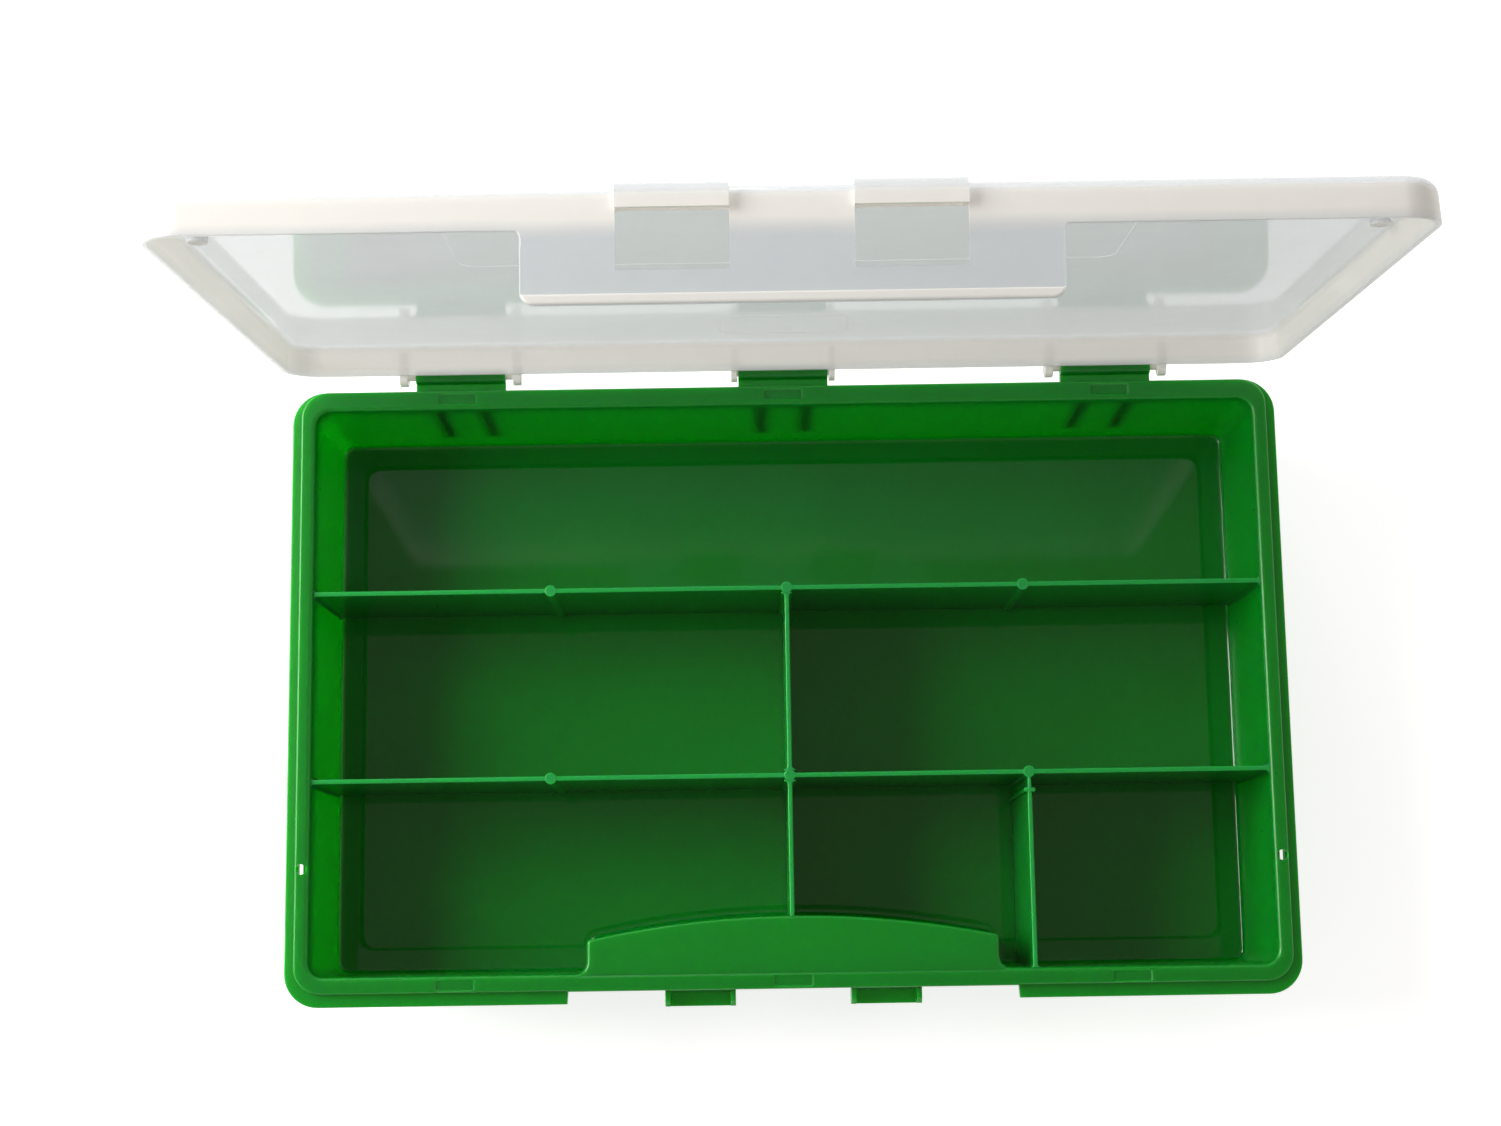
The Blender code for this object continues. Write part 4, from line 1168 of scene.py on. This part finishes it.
def add_node(tree, kind, links=(), out=None, **settings):
    """A new node's output, which is the one named or else the first in use.

    Settings go by their names. An input is set to a number or a colour, or linked to another node's output.
    """
    node = tree.nodes.new(kind)
    for name, value in settings.items():
        setattr(node, name, value)
    for socket, value in links:
        if isinstance(value, bpy.types.NodeSocket):
            tree.links.new(value, node.inputs[socket])
        else:
            node.inputs[socket].default_value = value
    return node.outputs[out] if out else next(output for output in node.outputs if output.enabled)


def new_material(name):
    """An empty node material and its Principled shader."""
    material = bpy.data.materials.new(name)
    material.use_nodes = True
    return material, material.node_tree, material.node_tree.nodes["Principled BSDF"]


def per_metre(millimetres):
    """A texture's scale, in repeats to the metre, from the size of its grain."""
    return 1000.0 / millimetres


def painted_top_glow_share(tree, where, level):
    """How much a point of a divider belongs to its top edge, whose level is given, where a paler glow is
    painted.
    """
    height = add_node(tree, "ShaderNodeSeparateXYZ", (("Vector", where),), "Z")
    return add_node(tree, "ShaderNodeMapRange", (
        ("Value", height), ("From Min", level - 3 * FINE), ("From Max", level - FINE),
    ))


def rib_painted_shade_share(tree, where, hinge, plane):
    """How much a point of the tray's inner back wall takes the painted shade of a hinge rib behind it.

    The place along x is folded to its distance from the nearest hinge's middle, and then from the nearest
    rib. The bands of closeness to a rib in x, y and z are multiplied.
    """
    x, y, z = add_node(tree, "ShaderNodeSeparateXYZ", (("Vector", where),)).node.outputs
    reach = hinge.pitch / 2
    near = add_node(tree, "ShaderNodeMath", ((0, x), (1, reach), (2, -reach)), operation="WRAP")
    away = add_node(tree, "ShaderNodeMath", ((0, near),), operation="ABSOLUTE")
    bands = (
        (away, hinge.gusset_pitch / 2, hinge.gusset / 2, 2 * hinge.gusset),
        (y, plane.opening_back, hinge.gusset / 2, FINE),
        (z, plane.ledge_under - hinge.gusset_drop / 2, hinge.gusset_drop / 2, hinge.gusset),
    )
    share = 1.0
    for place, middle, half, fade in bands:
        off = add_node(tree, "ShaderNodeMath", ((0, place), (1, middle)), operation="SUBTRACT")
        off = add_node(tree, "ShaderNodeMath", ((0, off),), operation="ABSOLUTE")
        band = add_node(tree, "ShaderNodeMapRange", (
            ("Value", off), ("From Min", half), ("From Max", half + fade), ("To Min", 1.0), ("To Max", 0.0),
        ), interpolation_type="SMOOTHSTEP")
        share = add_node(tree, "ShaderNodeMath", ((0, share), (1, band)), operation="MULTIPLY")
    return share


def green_polypropylene(plastics, name, tint, travel, part):
    """Moulded polypropylene, coloured through.

    To the eye it has satin walls that glow where light falls on their backs, a polished floor, cloudy flow
    marks and hairlines. A part painted in another colour, which is painted shade on the tray and a painted
    glow on the dividers, is given as its share function, what that function needs, and the colour.
    """
    found = bpy.data.materials.get(name)
    if found:
        return found
    material, tree, shader = new_material(name)
    where = add_node(tree, "ShaderNodeTexCoord", out="Object")
    # The melt's flow leaves clouds of slightly deeper green about 45 mm wide
    flow = add_node(tree, "ShaderNodeTexNoise", (
        ("Vector", where), ("Scale", per_metre(45.0)), ("Detail", 3.0), ("Roughness", 0.55),
    ))
    shade = add_node(tree, "ShaderNodeMix", (
        ("Factor", flow), ("A", (*plastics.green_deep, 1.0)), ("B", (*tint, 1.0)),
    ), data_type="RGBA")
    # Painted light and shade: the part's colour is mixed in where its share says
    share, needs, other = part
    shade = add_node(tree, "ShaderNodeMix", (
        ("Factor", share(tree, where, *needs)), ("A", shade), ("B", (*other, 1.0)),
    ), data_type="RGBA")
    tree.links.new(shade, shader.inputs["Base Color"])
    # The mould's floor was polished and its walls were left satin, so gloss changes with height
    height = add_node(tree, "ShaderNodeSeparateXYZ", (("Vector", where),), "Z")
    polish = add_node(tree, "ShaderNodeMapRange", (
        ("Value", height), ("From Min", POLISHED_BELOW), ("From Max", SATIN_ABOVE),
        ("To Min", plastics.gloss), ("To Max", plastics.satin),
    ))
    # Handling leaves a fine unevenness of gloss, about 6 mm across
    smear = add_node(tree, "ShaderNodeTexNoise", (
        ("Vector", where), ("Scale", per_metre(6.0)), ("Detail", 4.0),
    ))
    gloss = add_node(tree, "ShaderNodeMath", (
        (0, smear), (1, SMEAR), (2, polish),
    ), operation="MULTIPLY_ADD")
    tree.links.new(gloss, shader.inputs["Roughness"])
    # Hairlines of 0.8 mm by 40 mm and a grain of 0.5 mm, drawn coarser than real ones so that they show
    stretch = add_node(tree, "ShaderNodeMapping", (
        ("Vector", where), ("Rotation", (0.0, 0.0, HAIRLINE_TURN)),
        ("Scale", (per_metre(40.0), per_metre(0.8), 1.0)),
    ))
    hairline = add_node(tree, "ShaderNodeTexNoise", (("Vector", stretch), ("Scale", 1.0)))
    grain = add_node(tree, "ShaderNodeTexNoise", (("Vector", where), ("Scale", per_metre(0.5))))
    relief = add_node(tree, "ShaderNodeMath", ((0, hairline), (1, grain)), operation="ADD")
    bump = add_node(tree, "ShaderNodeBump", (
        ("Strength", RELIEF_SHARE), ("Distance", RELIEF_DEPTH), ("Height", relief),
    ))
    tree.links.new(bump, shader.inputs["Normal"])
    shader.inputs["IOR"].default_value = POLYPROPYLENE_IOR
    # Green light travels far inside the plastic, and red and blue are taken up near the surface
    shader.inputs["Subsurface Weight"].default_value = plastics.glow
    shader.inputs["Subsurface Radius"].default_value = GREEN_TRAVEL
    shader.inputs["Subsurface Scale"].default_value = travel
    return material


def tray_plastic(scene):
    """The tray's green: thin walls let light in from outside, and shade is painted where a rib stands behind.
    """
    plastics = scene.tackle_plastics
    plane = tray_planes(scene.tackle_tray, scene.tackle_recess)
    # Painted shade: a darker green on the inner back wall behind each hinge rib
    ribs = (rib_painted_shade_share, (scene.tackle_hinge, plane), plastics.green_rib_painted_shade)
    return green_polypropylene(plastics, "green polypropylene", plastics.green, plastics.travel, ribs)


def divider_plastic(scene):
    """The dividers' brighter green, painted paler along their tops as a glow of light that rose inside a
    plate.
    """
    plastics = scene.tackle_plastics
    # Painted light: a paler green along the tops of the plates and posts
    top = (painted_top_glow_share, (TRAY_HIGH.z - scene.tackle_divider.drop,), plastics.divider_top_painted_glow)
    return green_polypropylene(
        plastics, "green polypropylene divider", plastics.divider, plastics.divider_travel, top
    )


def skirt_painted_light_share(tree, where, lid):
    """How much a point of the lid belongs to its skirt, from 1 on the skirt to 0 on the panel and the tongue.

    The point is first turned back about the hinge to where it lies when the lid is shut. The skirt is painted
    whiter and less clear by this share, as painted light.
    """
    back = Matrix.Rotation(-OPEN_ANGLE, 3, "X")
    place = Vector(HINGE) - back @ Vector(HINGE)
    shut = add_node(tree, "ShaderNodeMapping", (
        ("Vector", where), ("Location", place), ("Rotation", (-OPEN_ANGLE, 0.0, 0.0)),
    ))
    level = add_node(tree, "ShaderNodeSeparateXYZ", (("Vector", shut),), "Z")
    rim = HINGE[2] + lid.rim_over_hinge
    ceiling = rim + lid.height - lid.panel
    rise = add_node(tree, "ShaderNodeMapRange", (
        ("Value", level), ("From Min", rim - 2 * lid.wall), ("From Max", rim + 3 * lid.wall),
    ), interpolation_type="SMOOTHSTEP")
    fall = add_node(tree, "ShaderNodeMapRange", (
        ("Value", level), ("From Min", ceiling - lid.wall), ("From Max", ceiling),
        ("To Min", 1.0), ("To Max", 0.0),
    ), interpolation_type="SMOOTHSTEP")
    return add_node(tree, "ShaderNodeMath", ((0, rise), (1, fall)), operation="MULTIPLY")


def milky_polypropylene(plastics, name, lid=None):
    """Natural polypropylene: most light scatters in it, some passes straight through, and it shines.

    Thick plastic is whiter, because light meets more crystals in it, and without the lid's sizes all of the
    piece counts as thick. With them, the skirt is painted whiter and less clear than the panel and the tongue,
    as painted light where its faces catch more light.
    """
    found = bpy.data.materials.get(name)
    if found:
        return found
    material, tree, shader = new_material(name)
    where = add_node(tree, "ShaderNodeTexCoord", out="Object")
    # Crystals grow unevenly as the melt cools, in clouds about 30 mm wide
    cloud = add_node(tree, "ShaderNodeTexNoise", (
        ("Vector", where), ("Scale", per_metre(30.0)), ("Detail", 4.0), ("Roughness", 0.6),
    ))
    # Painted light: on the lid only the skirt counts as thick, which paints it whiter and less clear than the
    # panel
    thickness = skirt_painted_light_share(tree, where, lid) if lid else THICK
    cloud_and_painted_light = add_node(tree, "ShaderNodeMath", (
        (0, cloud), (1, CLOUD_SHARE), (2, thickness),
    ), operation="MULTIPLY_ADD", use_clamp=True)
    shade = add_node(tree, "ShaderNodeMix", (
        ("Factor", cloud_and_painted_light), ("A", (*plastics.milky, 1.0)), ("B", (*plastics.milky_cloud_and_painted_light, 1.0)),
    ), data_type="RGBA")
    tree.links.new(shade, shader.inputs["Base Color"])
    clarity = add_node(tree, "ShaderNodeMapRange", (
        ("Value", cloud_and_painted_light), ("To Min", plastics.clarity), ("To Max", plastics.thick_clarity),
    ))
    # Streaks of 1.5 mm by 60 mm where the mould was wiped, which dull the shine a little
    stretch = add_node(tree, "ShaderNodeMapping", (
        ("Vector", where), ("Scale", (per_metre(1.5), 1.0, per_metre(60.0))),
    ))
    streak = add_node(tree, "ShaderNodeTexNoise", (("Vector", stretch), ("Scale", 1.0)))
    low, high = (plastics.frost * share for share in FROST_RANGE)
    frost = add_node(tree, "ShaderNodeMapRange", (("Value", streak), ("To Min", low), ("To Max", high)))
    tree.links.new(frost, shader.inputs["Roughness"])
    shader.inputs["Specular IOR Level"].default_value = 0.0
    scatter = add_node(tree, "ShaderNodeBsdfTranslucent", (("Color", shade),))
    milk = add_node(tree, "ShaderNodeMixShader", (
        ("Fac", plastics.milk), (1, shader.outputs["BSDF"]), (2, scatter),
    ))
    # Lamps reach through the sheet more than the eye does, so that its shadow stays pale
    lamp = add_node(tree, "ShaderNodeLightPath", out="Is Shadow Ray")
    share = add_node(tree, "ShaderNodeMix", (
        ("Factor", lamp), ("A", clarity), ("B", plastics.lamp_clarity),
    ))
    tint = add_node(tree, "ShaderNodeMix", (
        ("Factor", cloud_and_painted_light), ("A", WHITE), ("B", (*plastics.milky_thick, 1.0)),
    ), data_type="RGBA")
    clear = add_node(tree, "ShaderNodeBsdfTransparent", (("Color", tint),))
    sheet = add_node(tree, "ShaderNodeMixShader", (("Fac", share), (1, milk), (2, clear)))
    # The shine lies over all of this, and at a low angle it mirrors the tray
    edge = add_node(tree, "ShaderNodeFresnel", (("IOR", POLYPROPYLENE_IOR),))
    inside = add_node(tree, "ShaderNodeNewGeometry", out="Backfacing")
    outside = add_node(tree, "ShaderNodeMapRange", (
        ("Value", inside), ("To Min", plastics.mirror), ("To Max", 0.0),
    ))
    shine = add_node(tree, "ShaderNodeMath", ((0, edge), (1, outside)), operation="MULTIPLY")
    gloss = add_node(tree, "ShaderNodeBsdfGlossy", (("Roughness", frost),))
    whole = add_node(tree, "ShaderNodeMixShader", (("Fac", shine), (1, sheet), (2, gloss)))
    tree.links.new(whole, tree.nodes["Material Output"].inputs["Surface"])
    return material


def floor_sheet(stage):
    """A wide flat floor just under the tray: a grid of one square."""
    half = stage.floor_size / 2
    corners = np.array(((-half, -half), (half, -half), (half, half), (-half, half)))
    return row(corners[:, 0], corners[:, 1], -FINE), [[0, 1, 2, 3]]


def floor_paint(stage):
    """Matt white card: it takes the shadow as a diffuse surface, and glows enough to look white."""
    material, tree, shader = new_material("matt white card")
    shader.inputs["Base Color"].default_value = (*stage.floor, 1.0)
    shader.inputs["Roughness"].default_value = CARD_ROUGHNESS
    shader.inputs["Specular IOR Level"].default_value = 0.0
    path = add_node(tree, "ShaderNodeLightPath").node.outputs
    seen = path["Is Camera Ray"]
    for ray in ("Is Glossy Ray", "Is Transmission Ray"):
        seen = add_node(tree, "ShaderNodeMath", ((0, seen), (1, path[ray])), operation="MAXIMUM")
    glow = add_node(tree, "ShaderNodeMath", ((0, seen), (1, stage.floor_glow)), operation="MULTIPLY")
    shader.inputs["Emission Color"].default_value = WHITE
    tree.links.new(glow, shader.inputs["Emission Strength"])
    return material


def light_room(scene, stage):
    """A room, bright along the horizon and dim overhead, with a window at the left and a low lamp behind."""
    world = bpy.data.worlds.new("pale room")
    world.use_nodes = True
    tree = world.node_tree
    background = tree.nodes["Background"]
    ray = add_node(tree, "ShaderNodeTexCoord", out="Generated")
    _, depth, height = add_node(tree, "ShaderNodeSeparateXYZ", (("Vector", ray),)).node.outputs
    rise = add_node(tree, "ShaderNodeMapRange", (
        ("Value", height), ("From Min", SKY_RISE[0]), ("From Max", SKY_RISE[1]),
    ))
    sky = add_node(tree, "ShaderNodeMix", (
        ("Factor", rise), ("A", (*stage.horizon, 1.0)), ("B", (*stage.zenith, 1.0)),
    ), data_type="RGBA")
    tree.links.new(sky, background.inputs["Color"])
    strength = add_node(tree, "ShaderNodeMapRange", (
        ("Value", depth), ("From Min", ROOM_DEPTH[0]), ("From Max", ROOM_DEPTH[1]),
        ("To Min", stage.front), ("To Max", stage.back),
    ))
    tree.links.new(strength, background.inputs["Strength"])
    scene.world = world
    add_lamp(scene, "window", WINDOW_PLACE, WINDOW_SIZE, stage.window)
    add_lamp(scene, "rear lamp", REAR_PLACE, REAR_SIZE, stage.rear)


def add_lamp(scene, name, place, size, power):
    """A square soft lamp that faces the origin."""
    lamp = bpy.data.lights.new(name, "AREA")
    lamp.size = size
    lamp.energy = power
    thing = bpy.data.objects.new(name, lamp)
    scene.collection.objects.link(thing)
    place = Vector(place)
    turn = place.to_track_quat("Z", "Y").to_matrix().to_4x4()
    thing.matrix_world = Matrix.Translation(place) @ turn


def aim_camera(scene, stage):
    """The photograph's viewpoint: nearly overhead, a little in front, with the lens that fits its width."""
    camera = bpy.data.cameras.new("camera")
    camera.sensor_width = SENSOR
    camera.lens = stage.lens
    camera.clip_start, camera.clip_end = CAMERA_CLIP
    thing = bpy.data.objects.new("camera", camera)
    scene.collection.objects.link(thing)
    thing.location = CAMERA_PLACE
    thing.rotation_euler = [math.radians(angle) for angle in CAMERA_TURN]
    scene.camera = thing


class TACKLE_OT_tray(bpy.types.Operator):
    """Mould the tray's walls, floor, rim and finger recess"""

    bl_idname = "tackle.tray"
    bl_label = "Tray"

    def execute(self, context):
        scene = context.scene
        tray, recess = scene.tackle_tray, scene.tackle_recess
        thing = mesh_object("tray_shell", loft(tray_rings(tray, recess)))
        carve(thing, rim_marks(tray, recess), "DIFFERENCE")
        carve(thing, socket_cores(tray, recess), "DIFFERENCE")
        finish_piece(thing, tray_plastic(scene))
        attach(thing, "tray")
        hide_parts("tray")
        return {"FINISHED"}


class TACKLE_OT_catches(bpy.types.Operator):
    """Mould the two snap catches on the front beam"""

    bl_idname = "tackle.catches"
    bl_label = "Snap catches"

    def execute(self, context):
        scene = context.scene
        recess = scene.tackle_recess
        plane = tray_planes(scene.tackle_tray, recess)
        solids = [catch_solid(recess, plane, side * recess.catch_pitch / 2) for side in SIDES]
        thing = mesh_object("snap_catches", join(solids))
        finish_piece(thing, tray_plastic(scene), bevel=FINE)
        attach(thing, "tray")
        return {"FINISHED"}


class TACKLE_OT_brackets(bpy.types.Operator):
    """Mould the three hinge brackets and the ribs under them"""

    bl_idname = "tackle.brackets"
    bl_label = "Hinge brackets"

    def execute(self, context):
        scene = context.scene
        hinge = scene.tackle_hinge
        arms, ribs = bracket_solids(hinge, scene.tackle_tray, scene.tackle_recess)
        plastic = tray_plastic(scene)
        brackets = mesh_object("hinge_brackets", arms)
        carve(brackets, bore_solids(hinge), "DIFFERENCE")
        for thing in (brackets, mesh_object("hinge_gussets", ribs)):
            finish_piece(thing, plastic, bevel=FINE)
            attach(thing, "tray")
        return {"FINISHED"}


class TACKLE_OT_dividers(bpy.types.Operator):
    """Mould the five dividers with their posts"""

    bl_idname = "tackle.dividers"
    bl_label = "Dividers"

    def execute(self, context):
        scene = context.scene
        plastic = divider_plastic(scene)
        solids = divider_solids(scene.tackle_divider, scene.tackle_tray, scene.tackle_recess)
        for node, (plate, posts) in solids.items():
            thing = mesh_object(f"{node}_moulding", plate)
            if posts:
                carve(thing, posts, "UNION")
            finish_piece(thing, plastic)
            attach(thing, "tray")
            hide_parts(node)
        return {"FINISHED"}


class TACKLE_OT_lid(bpy.types.Operator):
    """Mould the lid in one piece with its snap tongue"""

    bl_idname = "tackle.lid"
    bl_label = "Lid and tongue"

    def execute(self, context):
        scene = context.scene
        lid, recess = scene.tackle_lid, scene.tackle_recess
        plane = lid_planes(lid, scene.tackle_tray)
        thing = mesh_object("lid_with_tongue", opened(loft(lid_rings(lid, scene.tackle_tray))))
        pads = [pad_solid(lid, plane, side * recess.catch_pitch / 2) for side in SIDES]
        carve(thing, opened(join(pads)), "UNION")
        for line in panel_lines(lid, plane):
            carve(thing, opened(line), "UNION")
        for cut in window_solids(lid, recess, plane):
            carve(thing, opened(cut), "DIFFERENCE")
        plastic = milky_polypropylene(scene.tackle_plastics, "milky polypropylene", lid)
        finish_piece(thing, plastic)
        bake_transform(thing)
        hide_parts("lid", "latch_tongue")
        return {"FINISHED"}


class TACKLE_OT_ears(bpy.types.Operator):
    """Mould the hinge ears and their pins"""

    bl_idname = "tackle.ears"
    bl_label = "Hinge ears"

    def execute(self, context):
        scene = context.scene
        ears, pins = ear_solids(scene.tackle_hinge, scene.tackle_lid, scene.tackle_tray)
        thing = mesh_object("hinge_ears", opened(ears))
        carve(thing, opened(pins), "UNION")
        plastic = milky_polypropylene(scene.tackle_plastics, "thick milky polypropylene")
        finish_piece(thing, plastic, bevel=FINE)
        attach(thing, "lid")
        return {"FINISHED"}


class TACKLE_OT_lip(bpy.types.Operator):
    """Mould the pull lip along the tongue's lower edge"""

    bl_idname = "tackle.lip"
    bl_label = "Pull lip"

    def execute(self, context):
        scene = context.scene
        plane = lid_planes(scene.tackle_lid, scene.tackle_tray)
        thing = mesh_object("pull_lip", opened(lip_solid(scene.tackle_lid, plane)))
        plastic = milky_polypropylene(scene.tackle_plastics, "thick milky polypropylene")
        finish_piece(thing, plastic)
        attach(thing, "tongue")
        return {"FINISHED"}


class TACKLE_OT_bosses(bpy.types.Operator):
    """Mould the locating bosses inside the lid"""

    bl_idname = "tackle.bosses"
    bl_label = "Locating bosses"

    def execute(self, context):
        scene = context.scene
        lid, tray, recess = scene.tackle_lid, scene.tackle_tray, scene.tackle_recess
        ceiling = lid_planes(lid, tray).ceiling
        tip = ceiling - lid.boss_height
        levels = (tip, tip + FINE, ceiling + FINE)
        radii = (lid.boss / 2 - FINE, lid.boss / 2, lid.boss / 2)
        spots = socket_spots(tray, tray_planes(tray, recess))
        solids = [pillar(spot, radii, levels) for spot in spots]
        plastic = milky_polypropylene(scene.tackle_plastics, "milky polypropylene", lid)
        thing = mesh_object("locating_bosses", opened(join(solids)))
        finish_piece(thing, plastic)
        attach(thing, "lid")
        return {"FINISHED"}


class TACKLE_OT_stage(bpy.types.Operator):
    """Set the pale floor, the soft light and the camera"""

    bl_idname = "tackle.stage"
    bl_label = "Stage"

    def execute(self, context):
        scene = context.scene
        stage = scene.tackle_stage
        scene.view_settings.view_transform = "Standard"
        floor = mesh_object("floor", floor_sheet(stage))
        floor.data.materials.append(floor_paint(stage))
        light_room(scene, stage)
        aim_camera(scene, stage)
        return {"FINISHED"}


class TACKLE_PT_panel(bpy.types.Panel):
    """Lists the box's pieces"""

    bl_idname = "TACKLE_PT_panel"
    bl_label = "Tackle Box"
    bl_space_type = "VIEW_3D"
    bl_region_type = "UI"
    bl_category = "Tackle Box"

    def draw(self, context):
        for operator in OPERATORS:
            self.layout.operator(operator.bl_idname)


GROUPS = {
    "tackle_tray": TrayShape,
    "tackle_recess": RecessShape,
    "tackle_hinge": HingeShape,
    "tackle_divider": DividerShape,
    "tackle_lid": LidShape,
    "tackle_plastics": Plastics,
    "tackle_stage": Stage,
}
OPERATORS = (
    TACKLE_OT_tray,
    TACKLE_OT_catches,
    TACKLE_OT_brackets,
    TACKLE_OT_dividers,
    TACKLE_OT_lid,
    TACKLE_OT_ears,
    TACKLE_OT_lip,
    TACKLE_OT_bosses,
    TACKLE_OT_stage,
)


def register():
    """Register the sizes, the operators and the panel."""
    for group in GROUPS.values():
        bpy.utils.register_class(group)
    for name, group in GROUPS.items():
        setattr(bpy.types.Scene, name, PointerProperty(type=group))
    for cls in (*OPERATORS, TACKLE_PT_panel):
        bpy.utils.register_class(cls)


def unregister():
    """Remove what register added."""
    for cls in (TACKLE_PT_panel, *OPERATORS[::-1]):
        bpy.utils.unregister_class(cls)
    for name in GROUPS:
        delattr(bpy.types.Scene, name)
    for group in GROUPS.values():
        bpy.utils.unregister_class(group)


def main():
    """Make every piece and the stage."""
    register()
    for operator in OPERATORS:
        group, name = operator.bl_idname.split(".")
        getattr(getattr(bpy.ops, group), name)()


if __name__ == "__main__":
    main()
